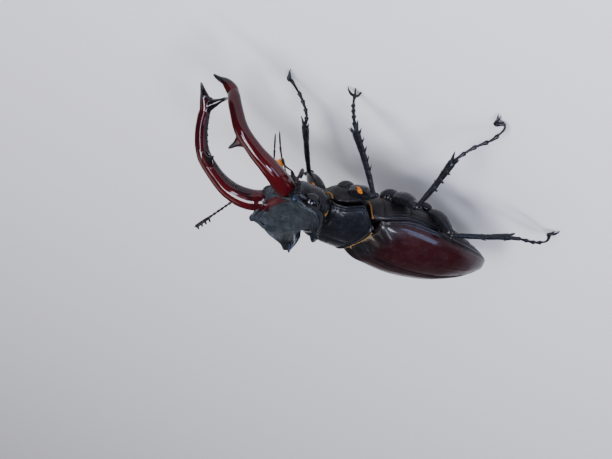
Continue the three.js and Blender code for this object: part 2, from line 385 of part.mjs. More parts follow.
// head with its crests; eyes, mandibles, feelers and mouthparts sit in sockets of it
const eyes = {}, mand = {}, scapes = {}, palps = {};
const mouth = (() => {
  const root = fromHead([0, -8.2, -1.6]);
  const brush = e => limb([fromHead([e * 0.7, -8.6, -1.8]), [e * 0.85, -20.6, -6.2], [e * 0.6, -21.1, -9.0]], [[0, 0], [0.05, 0.9], [0.5, 0.85], [0.85, 0.7], [1, 0]], 5);
  const mentum = ellipsoid(root, [3.6, 1.7, 1.1], 5, 8, [0.35, 0, 0]);
  return join(mentum, brush(1), brush(-1));
})();
for (const side of ['left', 'right']) {
  const s = sideOf(side);
  eyes[side] = ellipsoid(fromHead([s * EYE_CENTRE[0], EYE_CENTRE[1], EYE_CENTRE[2]]), [EYE_RADIUS * 0.85, EYE_RADIUS, EYE_RADIUS * 0.95], 7, 10);
  mand[side] = mandible(side);
  const A = ANTENNAE[side];
  scapes[side] = limb([A.base, mix(A.base, A.elbow, 0.5).map((v, k) => v + [0, 0, 0.25][k]), A.elbow], [[0, 0], [0.03, 0.3], [0.2, 0.28], [0.6, 0.32], [0.92, 0.4], [1, 0]], 7, [0.1, 0.3, 0.95]);
  const tipDir = vec(A.tip).sub(vec(A.elbow)), L = tipDir.length(), d = tipDir.clone().normalize();
  const start = vec(A.elbow).addScaledVector(d, 0.72).toArray();
  const clubUp = new THREE.Vector3().crossVectors(d, vec(A.base).sub(vec(A.elbow))).normalize();
  const plates = [];
  for (let i = 0; i < 4; i++) {      // four leaf-like plates on the inner side of the club
    const f = lerp(0.64, 0.94, i / 3), c = vec(A.elbow).addScaledVector(d, L * f), w = vec(A.base).sub(vec(A.elbow)); w.addScaledVector(d, -w.dot(d)).normalize();
    plates.push(limb([c.toArray(), c.clone().addScaledVector(w, 0.8).addScaledVector(d, 0.2).toArray(), c.clone().addScaledVector(w, 1.7 - 0.1 * i).addScaledVector(d, 0.35).toArray()], [[0, 0], [0.05, 0.3, 0.38], [0.94, 0.26, 0.34], [1, 0]], 4, d.toArray()));
  }
  parts['antenna_club_' + side] = join(limb([start, vec(A.elbow).addScaledVector(d, L * 0.5).toArray(), A.tip], [[0, 0], [0.03, 0.26], [0.3, 0.27], [0.6, 0.3], [0.7, 0.42], [0.95, 0.42], [1, 0]], 5, [0.1, 0.3, 0.95]), ...plates);
  parts['antenna_scape_' + side] = scapes[side];
  palps[side] = limb([fromHead([s * 2.9, -9.4, -3.4]), [s * 2.3, -20.9, -6.9], [s * 1.5, -21.7, -9.5], [s * 0.9, -22.6, -14.3]], [[0, 0], [0.02, 0.34], [0.3, 0.28], [0.34, 0.35], [0.64, 0.28], [0.68, 0.35], [0.97, 0.3], [1, 0]], 5, [1, 0, 0]);
}
// only the root of each mandible meets the head
const rootOf = side => { const s = p => (side === 'left' ? p : mirror(p)); return grown(limb(MANDIBLE_LINE.slice(0, 3).map(s), [[0, 0], [0.06, 2.05, 2.2], [0.36, 2.12, 2.27], [0.98, 1.95, 2.05], [1, 0]], 9)); };
const mandTools = { left: rootOf('left'), right: rootOf('right') };
const headTools = ['left', 'right'].flatMap(s => [grown(eyes[s]), mandTools[s]]);
parts.head = whole(cut(join(headBlock(), crest('left'), crest('right'), labrum()), ...headTools, grown(mouth), grown(neck), pronTool));
parts.mouthparts = mouth;
for (const side of ['left', 'right']) {
  parts['eye_' + side] = eyes[side];
  parts['mandible_' + side] = mand[side];
  parts['palp_' + side] = palps[side];
}
for (const [name, leg] of Object.entries(legs)) {
  const [kind, side] = name.split('_');
  parts[`${kind}_coxa_${side}`] = leg.coxa;
  parts[`${kind}_femur_${side}`] = whole(cut(leg.femur, grown(leg.tibia)));
  parts[`${kind}_tibia_${side}`] = whole(cut(leg.tibia, grown(leg.tarsus)));
  parts[`${kind}_tarsus_${side}`] = leg.tarsus;
}

// ---------------------------------------------------------------- stand it on the ground
const norm = Math.hypot(1, STANCE_SLOPE);
const placeOnGround = ([x, y, z]) => [x, (y + STANCE_SLOPE * (z - STANCE_DEPTH)) / norm, (z - STANCE_DEPTH - STANCE_SLOPE * y) / norm];
const ground = solid(new THREE.BoxGeometry(200, 200, 40).translate(0, 0, -20));
const placed = {};
for (const [name, m] of Object.entries(parts)) {
  const g = geometryOf(m), p = g.attributes.position;
  for (let i = 0; i < p.count; i++) p.setXYZ(i, ...placeOnGround([p.getX(i), p.getY(i), p.getZ(i)]));
  let s = solid(g);
  if (name.includes('tarsus')) s = whole(s.subtract(ground));     // small flats under the feet
  placed[name] = geometryOf(s);
}
const box = new THREE.Box3();
for (const g of Object.values(placed)) { g.computeBoundingBox(); box.union(g.boundingBox); }
const centre = [(box.min.x + box.max.x) / 2, (box.min.y + box.max.y) / 2];

const BLACK = [0x17181c, 0.42], GRAIN = [0x26292e, 0.62], CHESTNUT = [0x4a0d14, 0.22], JAW = [0x5e1013, 0.16], EYE = [0x07070a, 0.08], LEG = [0x121317, 0.32], BRUSH = [0xd98a1e, 0.8];
const finish = name => name.startsWith('elytron') ? CHESTNUT : name.startsWith('mandible') ? JAW : name.startsWith('eye') ? EYE : name === 'head' ? GRAIN : name === 'mouthparts' ? BRUSH : /coxa|femur|tibia|tarsus|antenna|palp/.test(name) ? LEG : BLACK;
const beetle = new THREE.Group();
for (const [name, g] of Object.entries(placed)) {
  const [color, roughness] = finish(name);
  const mesh = new THREE.Mesh(g, new THREE.MeshStandardMaterial({ color, roughness, metalness: 0 }));
  mesh.name = name;
  mesh.position.set(-centre[0], -centre[1], 0);
  beetle.add(mesh);
}
export default beetle;
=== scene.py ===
"""Looks of the stag beetle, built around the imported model.  Metres, the CAD's own frame."""
import math
import bpy
import numpy as np
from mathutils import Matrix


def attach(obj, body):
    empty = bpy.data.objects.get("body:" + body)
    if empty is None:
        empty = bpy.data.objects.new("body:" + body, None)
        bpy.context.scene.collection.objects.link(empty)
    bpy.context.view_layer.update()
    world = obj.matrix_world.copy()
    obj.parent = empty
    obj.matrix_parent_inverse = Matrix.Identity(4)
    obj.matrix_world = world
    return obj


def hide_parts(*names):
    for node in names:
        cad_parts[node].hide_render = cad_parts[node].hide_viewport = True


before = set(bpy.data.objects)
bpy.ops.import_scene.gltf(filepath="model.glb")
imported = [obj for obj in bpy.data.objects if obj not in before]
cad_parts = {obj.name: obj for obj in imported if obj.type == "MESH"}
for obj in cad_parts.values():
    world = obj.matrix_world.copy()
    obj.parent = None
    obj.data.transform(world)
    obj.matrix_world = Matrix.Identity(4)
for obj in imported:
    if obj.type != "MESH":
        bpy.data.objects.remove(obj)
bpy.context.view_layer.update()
RNG = np.random.default_rng(7)

# ------------------------------------------------------------------ body frame (mm) to the row frame (m)
SLOPE, DEPTH = 0.38, -22.3
NORM = math.hypot(1, SLOPE)
SHIFT = np.array([2.301264762878418, -2.613170623779297, 0.0])


def place(p):
    p = np.asarray(p, float).reshape(-1, 3)
    x, y, z = p.T
    return (np.stack([x, (y + SLOPE * (z - DEPTH)) / NORM, (z - DEPTH - SLOPE * y) / NORM], 1) + SHIFT) * 0.001


def turn(d):
    d = np.asarray(d, float).reshape(-1, 3)
    x, y, z = d.T
    return np.stack([x, (y + SLOPE * z) / NORM, (z - SLOPE * y) / NORM], 1)


def pchip(st, x):
    X = np.array([s[0] for s in st], float)
    V = np.array([s[1] for s in st], float)
    h = np.diff(X)
    d = np.diff(V) / h
    m = np.zeros(len(X))
    m[0], m[-1] = d[0], d[-1]
    for i in range(1, len(X) - 1):
        if d[i - 1] * d[i] > 0:
            w1, w2 = 2 * h[i] + h[i - 1], h[i] + 2 * h[i - 1]
            m[i] = (w1 + w2) / (w1 / d[i - 1] + w2 / d[i])
    x = np.clip(np.asarray(x, float), X[0], X[-1])
    i = np.clip(np.searchsorted(X, x, side="left") - 1, 0, len(X) - 2)
    t = (x - X[i]) / h[i]
    t2, t3 = t * t, t * t * t
    return (2 * t3 - 3 * t2 + 1) * V[i] + (t3 - 2 * t2 + t) * h[i] * m[i] + (-2 * t3 + 3 * t2) * V[i + 1] + (t3 - t2) * h[i] * m[i + 1]


def smooth(a, b, x):
    t = np.clip((np.asarray(x, float) - a) / (b - a), 0, 1)
    return t * t * (3 - 2 * t)


def unit(v):
    v = np.asarray(v, float)
    return v / np.maximum(np.linalg.norm(v, axis=-1, keepdims=True), 1e-12)


def mix(a, b, t):
    return np.asarray(a, float) * (1 - t) + np.asarray(b, float) * t


def mir(p, side):
    p = np.array(p, float)
    if side == "right":
        p[..., 0] = -p[..., 0]
    return p


HEAD_PITCH = math.radians(20)
HEAD_ORIGIN = np.array([0, -11.5, 0.5])


def from_head(p):
    p = np.asarray(p, float)
    c, s = math.cos(HEAD_PITCH), math.sin(HEAD_PITCH)
    return np.stack([p[..., 0], p[..., 1] * c - p[..., 2] * s, p[..., 1] * s + p[..., 2] * c], -1) + HEAD_ORIGIN


class Path:
    """Centripetal Catmull-Rom curve through points, read by share of its length."""

    def __init__(self, pts, n=60):
        P = np.array(pts, float)
        e = np.vstack([2 * P[0] - P[1], P, 2 * P[-1] - P[-2]])
        out = []
        for i in range(len(P) - 1):
            x0, x1, x2, x3 = e[i:i + 4]
            d0, d1, d2 = [max(np.linalg.norm(b - a), 1e-6) ** 0.5 for a, b in ((x0, x1), (x1, x2), (x2, x3))]
            t1 = ((x1 - x0) / d0 - (x2 - x0) / (d0 + d1) + (x2 - x1) / d1) * d1
            t2 = ((x2 - x1) / d1 - (x3 - x1) / (d1 + d2) + (x3 - x2) / d2) * d1
            t = np.linspace(0, 1, n, endpoint=i == len(P) - 2)[:, None]
            out.append(x1 + t1 * t + (-3 * x1 + 3 * x2 - 2 * t1 - t2) * t ** 2 + (2 * x1 - 2 * x2 + t1 + t2) * t ** 3)
        self.C = np.vstack(out)
        s = np.r_[0, np.cumsum(np.linalg.norm(np.diff(self.C, axis=0), axis=1))]
        self.length = s[-1]
        self.S = s / s[-1]

    def at(self, f):
        f = np.clip(np.asarray(f, float), 0, 1)
        return np.stack([np.interp(f, self.S, self.C[:, k]) for k in range(3)], -1)

    def tangent(self, f):
        f = np.asarray(f, float)
        return unit(self.at(np.clip(f + 0.012, 0, 1)) - self.at(np.clip(f - 0.012, 0, 1)))


# ------------------------------------------------------------------ meshes as (vertices, faces) in the body frame, mm
def rows_mesh(P, closed=True):
    """P[rows, around, 3]; first and last rows are poles when closed."""
    n, a = P.shape[:2]
    V = [P[0, :1]] + [P[i] for i in range(1, n - 1)] + [P[-1, :1]]
    V = np.vstack(V)
    F = []
    first = lambda i: 1 + (i - 1) * a
    k = np.arange(a)
    k2 = (k + 1) % a
    F += [[0, first(1) + int(j2), first(1) + int(j)] for j, j2 in zip(k, k2)]
    for i in range(1, n - 2):
        A, B = first(i), first(i + 1)
        F += np.stack([A + k, A + k2, B + k2, B + k], 1).tolist()
    last = len(V) - 1
    A = first(n - 2)
    F += [[last, A + int(j), A + int(j2)] for j, j2 in zip(k, k2)]
    return outward(V, F)


def outward(V, F):
    T = np.array([[f[0], f[i], f[i + 1]] for f in F for i in range(1, len(f) - 1)])
    a, b, c = V[T[:, 0]], V[T[:, 1]], V[T[:, 2]]
    if np.einsum("ij,ij->i", a, np.cross(b, c)).sum() < 0:
        F = [f[::-1] for f in F]
    return V, F


def limb(points, st, rows=60, around=24, up=(0, 0, 1), sharp=False, cap=None, roll=0.0, wave=None):
    """Rings along a smooth path; st is [fraction, half width, half height]; ends are rounded unless sharp."""
    path = points if isinstance(points, Path) else Path(points)
    st = [s if len(s) == 3 else [s[0], s[1], s[1]] for s in st]
    r0 = max(st[0][1], 1e-3)
    c = cap if cap is not None else min(0.3, r0 / path.length)
    c1 = min(0.3, max(st[-1][1], 1e-3) / path.length)
    f = np.linspace(0, 1, rows)
    f = np.unique(np.r_[0, c * (1 - np.cos(np.linspace(0, np.pi / 2, 7))), f, 1 - c1 * (1 - np.cos(np.linspace(0, np.pi / 2, 7))), 1])
    g = np.ones_like(f)
    g = np.where(f < c, np.sqrt(np.maximum(0, 1 - (1 - f / c) ** 2)), g)
    if not sharp:
        g = np.where(f > 1 - c1, np.sqrt(np.maximum(0, 1 - (1 - (1 - f) / c1) ** 2)), g)
    rw = pchip([[s[0], s[1]] for s in st], f) * g
    rh = pchip([[s[0], s[2]] for s in st], f) * g
    C, T = path.at(f), path.tangent(f)
    U = np.asarray(up, float)
    side = unit(np.cross(T, U))
    top = unit(np.cross(side, T))
    a = 2 * np.pi * np.arange(around) / around + roll
    P = C[:, None] + side[:, None] * (rw[:, None, None] * np.cos(a)[None, :, None]) + top[:, None] * (rh[:, None, None] * np.sin(a)[None, :, None])
    if wave is not None:
        P = wave(P, C, f, a)
    P[0], P[-1] = C[0], C[-1]
    return rows_mesh(P)


def spine(a, b, r, rows=14, around=10, bend=(0, 0, 0), blunt=0.12):
    m = mix(a, b, 0.5) + np.asarray(bend, float)
    return limb([a, m, b], [[0, r], [0.25, r * 0.85], [0.6, r * 0.5], [1, r * blunt]], rows, around, up=(0.13, 0.31, 0.94))


def ellipsoid(c, r, rows=40, around=60, matrix=None):
    th = np.linspace(0, np.pi, rows)[:, None]
    a = 2 * np.pi * np.arange(around)[None] / around
    P = np.stack([r[0] * np.sin(th) * np.cos(a), r[1] * np.cos(th) * np.ones_like(a), r[2] * np.sin(th) * np.sin(a)], -1)
    if matrix is not None:
        P = P @ np.asarray(matrix, float).T
    return rows_mesh(P + np.asarray(c, float))


def rot(axis, deg):
    axis = unit(axis)
    a = math.radians(deg)
    K = np.array([[0, -axis[2], axis[1]], [axis[2], 0, -axis[0]], [-axis[1], axis[0], 0]])
    return np.eye(3) + math.sin(a) * K + (1 - math.cos(a)) * K @ K


def merged(parts):
    V, F, n = [], [], 0
    for v, f in parts:
        V.append(np.asarray(v, float))
        F += [[i + n for i in q] for q in f]
        n += len(v)
    return np.vstack(V), F


def relax(V, edges, times, share=0.5, weight=None):
    n = len(V)
    deg = np.zeros(n)
    np.add.at(deg, edges[:, 0], 1)
    np.add.at(deg, edges[:, 1], 1)
    deg = np.maximum(deg, 1)[:, None]
    for k in range(times):
        S = np.zeros_like(V)
        for d in range(3):
            S[:, d] = np.bincount(edges[:, 0], V[edges[:, 1], d], n) + np.bincount(edges[:, 1], V[edges[:, 0], d], n)
        step = (S / deg - V)
        lam = share if k % 2 == 0 else -share * 0.94
        V = V + step * (lam if weight is None else lam * weight[:, None])
    return V


def fuse(parts, voxel, times=14, melt=0, name="tmp"):
    """One skin round several overlapping solids, then a shrink-free smoothing; melt rounds the joints first."""
    V, F = merged(parts)
    me = bpy.data.meshes.new(name)
    me.from_pydata(V.tolist(), [], F)
    ob = bpy.data.objects.new(name, me)
    bpy.context.scene.collection.objects.link(ob)
    mod = ob.modifiers.new("r", "REMESH")
    mod.mode = "VOXEL"
    mod.voxel_size = voxel
    dg = bpy.context.evaluated_depsgraph_get()
    got = bpy.data.meshes.new_from_object(ob.evaluated_get(dg))
    n = len(got.vertices)
    co = np.zeros(n * 3, np.float32)
    got.vertices.foreach_get("co", co)
    V = co.reshape(-1, 3).astype(float)
    e = np.zeros(len(got.edges) * 2, np.int32)
    got.edges.foreach_get("vertices", e)
    e = e.reshape(-1, 2)
    F = [list(p.vertices) for p in got.polygons]
    bpy.data.objects.remove(ob)
    bpy.data.meshes.remove(me)
    bpy.data.meshes.remove(got)
    if melt:
        n = len(V)
        deg = np.maximum(np.bincount(e.ravel(), minlength=n), 1)[:, None]
        for _ in range(melt):
            S = np.stack([np.bincount(e[:, 0], V[e[:, 1], d], n) + np.bincount(e[:, 1], V[e[:, 0], d], n) for d in range(3)], 1)
            V = V + 0.5 * (S / deg - V)
    V = relax(V, e, times)
    return V, F, e


def noise3(P, scale, seed=0):
    """Smooth repeatable noise in -1..1 from a sum of turned sines, for vertices."""
    r = np.random.default_rng(1000 + seed)
    out = np.zeros(len(P))
    for _ in range(9):
        d = unit(r.normal(size=3)) * scale * r.uniform(0.6, 1.7)
        out += np.sin(P @ d + r.uniform(0, 6.28))
    return out / 4.2


# ------------------------------------------------------------------ objects
def to_object(name, V, F, mat, attrs=None, replaces=(), body_frame=True):
    me = bpy.data.meshes.new(name)
    co = place(V) if body_frame else np.asarray(V, float)
    me.from_pydata(co.tolist(), [], F)
    me.validate()
    me.polygons.foreach_set("use_smooth", np.ones(len(me.polygons), bool))
    for k, v in (attrs or {}).items():
        at = me.attributes.new(k, "FLOAT", "POINT")
        at.data.foreach_set("value", np.asarray(v, np.float32))
    ob = bpy.data.objects.new(name, me)
    bpy.context.scene.collection.objects.link(ob)
    me.materials.append(mat)
    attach(ob, "root")
    if replaces:
        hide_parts(*replaces)
    return ob


# ------------------------------------------------------------------ materials
class Mat:
    def __init__(self, name):
        self.m = bpy.data.materials.new(name)
        self.m.use_nodes = True
        self.nt = self.m.node_tree
        self.b = self.nt.nodes["Principled BSDF"]
        tc = self.nt.nodes.new("ShaderNodeTexCoord")
        mp = self.nt.nodes.new("ShaderNodeMapping")
        mp.inputs["Scale"].default_value = (1000, 1000, 1000)
        self.link(tc.outputs["Object"], mp.inputs["Vector"])
        self.mm = mp.outputs["Vector"]
        self.normal = None

    def link(self, a, b):
        self.nt.links.new(a, b)

    def set(self, **kw):
        for k, v in kw.items():
            self.b.inputs[k.replace("_", " ")].default_value = v
        return self

    def noise(self, scale, detail=3.0, rough=0.55, vector=None, distort=0.0):
        n = self.nt.nodes.new("ShaderNodeTexNoise")
        n.inputs["Scale"].default_value = scale
        n.inputs["Detail"].default_value = detail
        n.inputs["Roughness"].default_value = rough
        n.inputs["Distortion"].default_value = distort
        self.link(vector or self.mm, n.inputs["Vector"])
        return n.outputs["Fac"]

    def voronoi(self, scale, feature="F1", vector=None, randomness=1.0, out="Distance"):
        n = self.nt.nodes.new("ShaderNodeTexVoronoi")
        n.feature = feature
        n.inputs["Scale"].default_value = scale
        n.inputs["Randomness"].default_value = randomness
        self.link(vector or self.mm, n.inputs["Vector"])
        return n.outputs[out]

    def ramp(self, fac, stops):
        n = self.nt.nodes.new("ShaderNodeValToRGB")
        e = n.color_ramp.elements
        while len(e) < len(stops):
            e.new(0.5)
        for el, (p, c) in zip(e, stops):
            el.position = p
            el.color = (*c, 1) if not np.isscalar(c) else (c, c, c, 1)
        self.link(fac, n.inputs["Fac"])
        return n.outputs["Color"]

    def attr(self, name):
        n = self.nt.nodes.new("ShaderNodeAttribute")
        n.attribute_name = name
        return n.outputs["Fac"]

    def math(self, op, a, b=None, clamp=False):
        n = self.nt.nodes.new("ShaderNodeMath")
        n.operation = op
        n.use_clamp = clamp
        for i, v in enumerate((a, b)):
            if v is None:
                continue
            if isinstance(v, (int, float)):
                n.inputs[i].default_value = v
            else:
                self.link(v, n.inputs[i])
        return n.outputs["Value"]

    def blend(self, fac, a, b, kind="MIX"):
        n = self.nt.nodes.new("ShaderNodeMix")
        n.data_type = "RGBA"
        n.blend_type = kind
        for sock, v in ((n.inputs["Factor"], fac), (n.inputs["A"], a), (n.inputs["B"], b)):
            pass
        ins = [s for s in n.inputs if s.enabled]
        for s, v in zip(ins, (fac, a, b)):
            if isinstance(v, (int, float)):
                s.default_value = v
            elif isinstance(v, tuple):
                s.default_value = (*v, 1)
            else:
                self.link(v, s)
        return [o for o in n.outputs if o.enabled][0]

    def range(self, v, a, b, c=0.0, d=1.0):
        n = self.nt.nodes.new("ShaderNodeMapRange")
        n.inputs["From Min"].default_value = a
        n.inputs["From Max"].default_value = b
        n.inputs["To Min"].default_value = c
        n.inputs["To Max"].default_value = d
        self.link(v, n.inputs["Value"])
        return n.outputs["Result"]

    def bump(self, height, distance_mm, strength=1.0, invert=False):
        n = self.nt.nodes.new("ShaderNodeBump")
        n.invert = invert
        n.inputs["Distance"].default_value = distance_mm * 0.001
        n.inputs["Strength"].default_value = strength
        self.link(height, n.inputs["Height"])
        if self.normal is not None:
            self.link(self.normal, n.inputs["Normal"])
        self.normal = n.outputs["Normal"]
        return self

    def done(self, color, rough=None):
        if isinstance(color, tuple):
            self.b.inputs["Base Color"].default_value = (*color, 1)
        else:
            self.link(color, self.b.inputs["Base Color"])
        if rough is not None:
            if isinstance(rough, (int, float)):
                self.b.inputs["Roughness"].default_value = rough
            else:
                self.link(rough, self.b.inputs["Roughness"])
        if self.normal is not None:
            self.link(self.normal, self.b.inputs["Normal"])
        return self.m


def elytra_material():
    k = Mat("elytra_chitin")
    k.set(Coat_Weight=0.22, Coat_Roughness=0.11, IOR=1.45, Specular_IOR_Level=0.12)
    tone = k.math("ADD", k.attr("tone"), k.range(k.noise(0.35, 3), 0.3, 0.7, -0.16, 0.16), clamp=True)
    base = k.ramp(tone, [(0.0, (0.0022, 0.0022, 0.0024)), (0.35, (0.0045, 0.0016, 0.002)), (0.7, (0.0095, 0.0017, 0.0023)), (1.0, (0.0145, 0.0021, 0.0028))])
    fine = k.noise(5.0, 4, 0.6)
    base = k.blend(k.range(fine, 0.45, 0.75, 0.0, 0.35), base, (0.014, 0.003, 0.005))
    dust = k.range(k.math("MULTIPLY", k.noise(0.55, 5, 0.65, distort=0.4), k.noise(9.0, 3, 0.7)), 0.25, 0.46, 0.0, 0.16)
    base = k.blend(dust, base, (0.10, 0.085, 0.095))
    rough = k.math("ADD", k.range(k.noise(1.3, 5, 0.65), 0.3, 0.7, 0.25, 0.4), k.math("MULTIPLY", dust, 0.9), clamp=True)
    k.bump(k.noise(0.5, 3), 0.10, 0.45)
    k.bump(k.noise(2.6, 3, 0.6), 0.02, 0.5)
    pit = k.range(k.voronoi(5.5), 0.0, 0.42)
    k.bump(pit, 0.014, 0.55)
    k.bump(k.noise(26, 2), 0.004, 0.5)
    return k.done(base, rough)


def mandible_material():
    k = Mat("mandible_chitin")
    k.set(Coat_Weight=0.42, Coat_Roughness=0.035, IOR=1.45, Specular_IOR_Level=0.09)
    tone = k.math("ADD", k.attr("tone"), k.range(k.noise(0.7, 3), 0.3, 0.7, -0.13, 0.13), clamp=True)
    base = k.ramp(tone, [(0.0, (0.0025, 0.003, 0.0035)), (0.3, (0.006, 0.0016, 0.0024)), (0.62, (0.016, 0.0012, 0.002)), (1.0, (0.033, 0.0017, 0.0024))])
    base = k.blend(k.range(k.noise(4.0, 4), 0.5, 0.75, 0, 0.4), base, (0.018, 0.0022, 0.0035))
    rough = k.range(k.noise(1.6, 5, 0.6), 0.3, 0.7, 0.1, 0.2)
    k.bump(k.noise(0.7, 3), 0.05, 0.3)
    pit = k.range(k.voronoi(3.4), 0.0, 0.3)
    k.bump(pit, 0.006, k_strength(0.4))
    k.bump(k.noise(22, 2), 0.003, 0.5)
    return k.done(base, rough)


def k_strength(v):
    return v


def granular_material():
    """Head: close rough grain on satin black."""
    k = Mat("head_chitin")
    k.set(Coat_Weight=0.16, Coat_Roughness=0.14, IOR=1.45, Specular_IOR_Level=0.1)
    grain = k.voronoi(5.2, randomness=0.9)
    grain2 = k.voronoi(11.0)
    shine = k.attr("shine")
    base = k.ramp(k.noise(0.8, 4, 0.6), [(0.3, (0.0022, 0.0024, 0.003)), (0.55, (0.0035, 0.0038, 0.0045)), (0.75, (0.006, 0.006, 0.0065))])
    worn = k.math("MULTIPLY", k.range(k.noise(0.45, 5, 0.7), 0.36, 0.64, 0.25, 1.0), k.range(k.noise(3.2, 4, 0.7), 0.35, 0.62, 0.35, 1.0))
    base = k.blend(k.math("MULTIPLY", worn, k.math("SUBTRACT", 1.0, shine)), base, (0.021, 0.0265, 0.031))
    dust = k.math("MULTIPLY", k.range(grain, 0.42, 0.1, 0.0, 0.85), k.range(k.noise(0.5, 5, 0.65), 0.34, 0.62, 0.08, 1.0))
    base = k.blend(k.math("MULTIPLY", dust, k.math("SUBTRACT", 1.0, shine)), base, (0.14, 0.162, 0.172))
    base = k.blend(k.math("MULTIPLY", k.attr("red"), 0.9), base, (0.035, 0.0022, 0.004))
    # painted highlight: a paler silvery tint on the front rim stands in for the sheen the ridge catches
    base = k.blend(k.math("MULTIPLY", k.attr("rim"), k.range(k.noise(3.5, 3), 0.3, 0.7, 0.1, 0.7)), base, (0.06, 0.072, 0.07))
    # painted reflection: a blue tint on the corner knobs and crest peaks stands in for the sky glint on them
    base = k.blend(k.math("MULTIPLY", k.attr("painted_sky_glint"), 0.22), base, (0.010, 0.034, 0.075))
    rough = k.math("SUBTRACT", k.range(k.noise(3.0, 4), 0.3, 0.7, 0.36, 0.52), k.math("MULTIPLY", shine, 0.2))
    k.bump(k.noise(1.1, 3), 0.09, 0.45)
    amount = k.math("SUBTRACT", 1.0, k.math("MULTIPLY", shine, 0.9))
    k.bump(k.math("MULTIPLY", k.range(grain, 0.05, 0.55), amount), 0.08, 0.9, invert=True)
    k.bump(k.math("MULTIPLY", grain2, amount), 0.02, 0.6, invert=True)
    return k.done(base, rough)


def satin_black(name, base=(0.009, 0.0095, 0.0115), rough=(0.26, 0.38), pits=4.2, pit_depth=0.02, coat=0.25, coat_rough=0.2, warm=0.0):
    k = Mat(name)
    k.set(Coat_Weight=coat * 0.48, Coat_Roughness=coat_rough * 0.7, IOR=1.45, Specular_IOR_Level=0.08)
    base = tuple(c * 0.4 for c in base)
    b2 = tuple(c * 1.9 + warm * w for c, w in zip(base, (0.012, 0.005, 0.003)))
    col = k.ramp(k.noise(0.9, 4, 0.6), [(0.3, base), (0.7, b2)])
    speck = k.math("MULTIPLY", k.range(k.voronoi(pits * 1.3), 0.34, 0.1, 0.0, 0.5), k.range(k.noise(0.5, 4, 0.65), 0.42, 0.66, 0.0, 1.0))
    col = k.blend(speck, col, (0.055, 0.058, 0.06))
    dust = k.range(k.math("MULTIPLY", k.noise(0.8, 4, 0.6, distort=0.5), k.noise(8.0, 3, 0.7)), 0.27, 0.5, 0.0, 0.06)
    col = k.blend(dust, col, (0.14, 0.135, 0.125))
    r = k.math("ADD", k.range(k.noise(2.0, 4, 0.6), 0.3, 0.7, rough[0], rough[1]), k.math("MULTIPLY", dust, 0.8), clamp=True)
    k.bump(k.noise(0.8, 3), 0.08, 0.4)
    k.bump(k.range(k.voronoi(pits), 0.0, 0.4), pit_depth, 0.75)
    k.bump(k.noise(18, 3), 0.006, 0.6)
    return k.done(col, r)


def eye_material():
    k = Mat("eye_facets")
    k.set(Coat_Weight=0.35, Coat_Roughness=0.03, IOR=1.4, Specular_IOR_Level=0.08)
    cell = k.voronoi(20.0, randomness=0.25)
    col = k.ramp(k.noise(1.2, 2), [(0.35, (0.002, 0.002, 0.003)), (0.7, (0.006, 0.004, 0.005))])
    k.bump(k.range(cell, 0.0, 0.5), 0.004, 0.5, invert=True)
    return k.done(col, k.range(k.noise(3.0, 2), 0.3, 0.7, 0.12, 0.2))


def hair_material(name, root, tip, rough=0.42):
    k = Mat(name)
    k.set(IOR=1.45, Specular_IOR_Level=0.3, Sheen_Weight=0.04, Sheen_Roughness=0.4)
    t = k.attr("along")
    col = k.ramp(k.math("ADD", k.math("MULTIPLY", t, 0.75), k.math("MULTIPLY", k.attr("shade"), 0.25)), [(0.0, root), (0.45, mixc(root, tip, 0.6)), (1.0, tip)])
    streak = k.noise(14.0, 3, 0.6)
    col = k.blend(k.range(streak, 0.35, 0.7, 0.0, 0.35), col, mixc(root, tip, 0.25))
    k.bump(k.noise(30.0, 2), 0.004, 0.5)
    return k.done(col, k.range(streak, 0.3, 0.7, rough - 0.08, rough + 0.1))


def mixc(a, b, t):
    return tuple(x * (1 - t) + y * t for x, y in zip(a, b))


# ------------------------------------------------------------------ shapes of the shell (body frame, mm)
ELYTRA_LENGTH = 31.0
EHW = [[0, 8.4], [.06, 9.6], [.2, 10.8], [.38, 11.25], [.6, 10.3], [.8, 7.5], [.92, 4.7], [.98, 2.4], [1, 1.2]]
ECR = [[0, 3.1], [.15, 5.8], [.35, 6.4], [.6, 5.7], [.8, 4.0], [.93, 1.9], [1, .3]]
EMG = [[0, .9], [.2, -.4], [.6, .35], [1, -.7]]


def elytra_point(t, s):
    a = np.clip(s, 0, 1) * np.pi / 2
    W, C, M = pchip(EHW, t), pchip(ECR, t), pchip(EMG, t)
    return np.stack([W * np.sin(a) ** (2 / 2.3), ELYTRA_LENGTH * t, M * np.sin(a) ** 4 + C * np.maximum(np.cos(a), 0) ** (2 / 2.1)], -1)


def bump_at(d2, r):
    return np.exp(-d2 / (r * r))


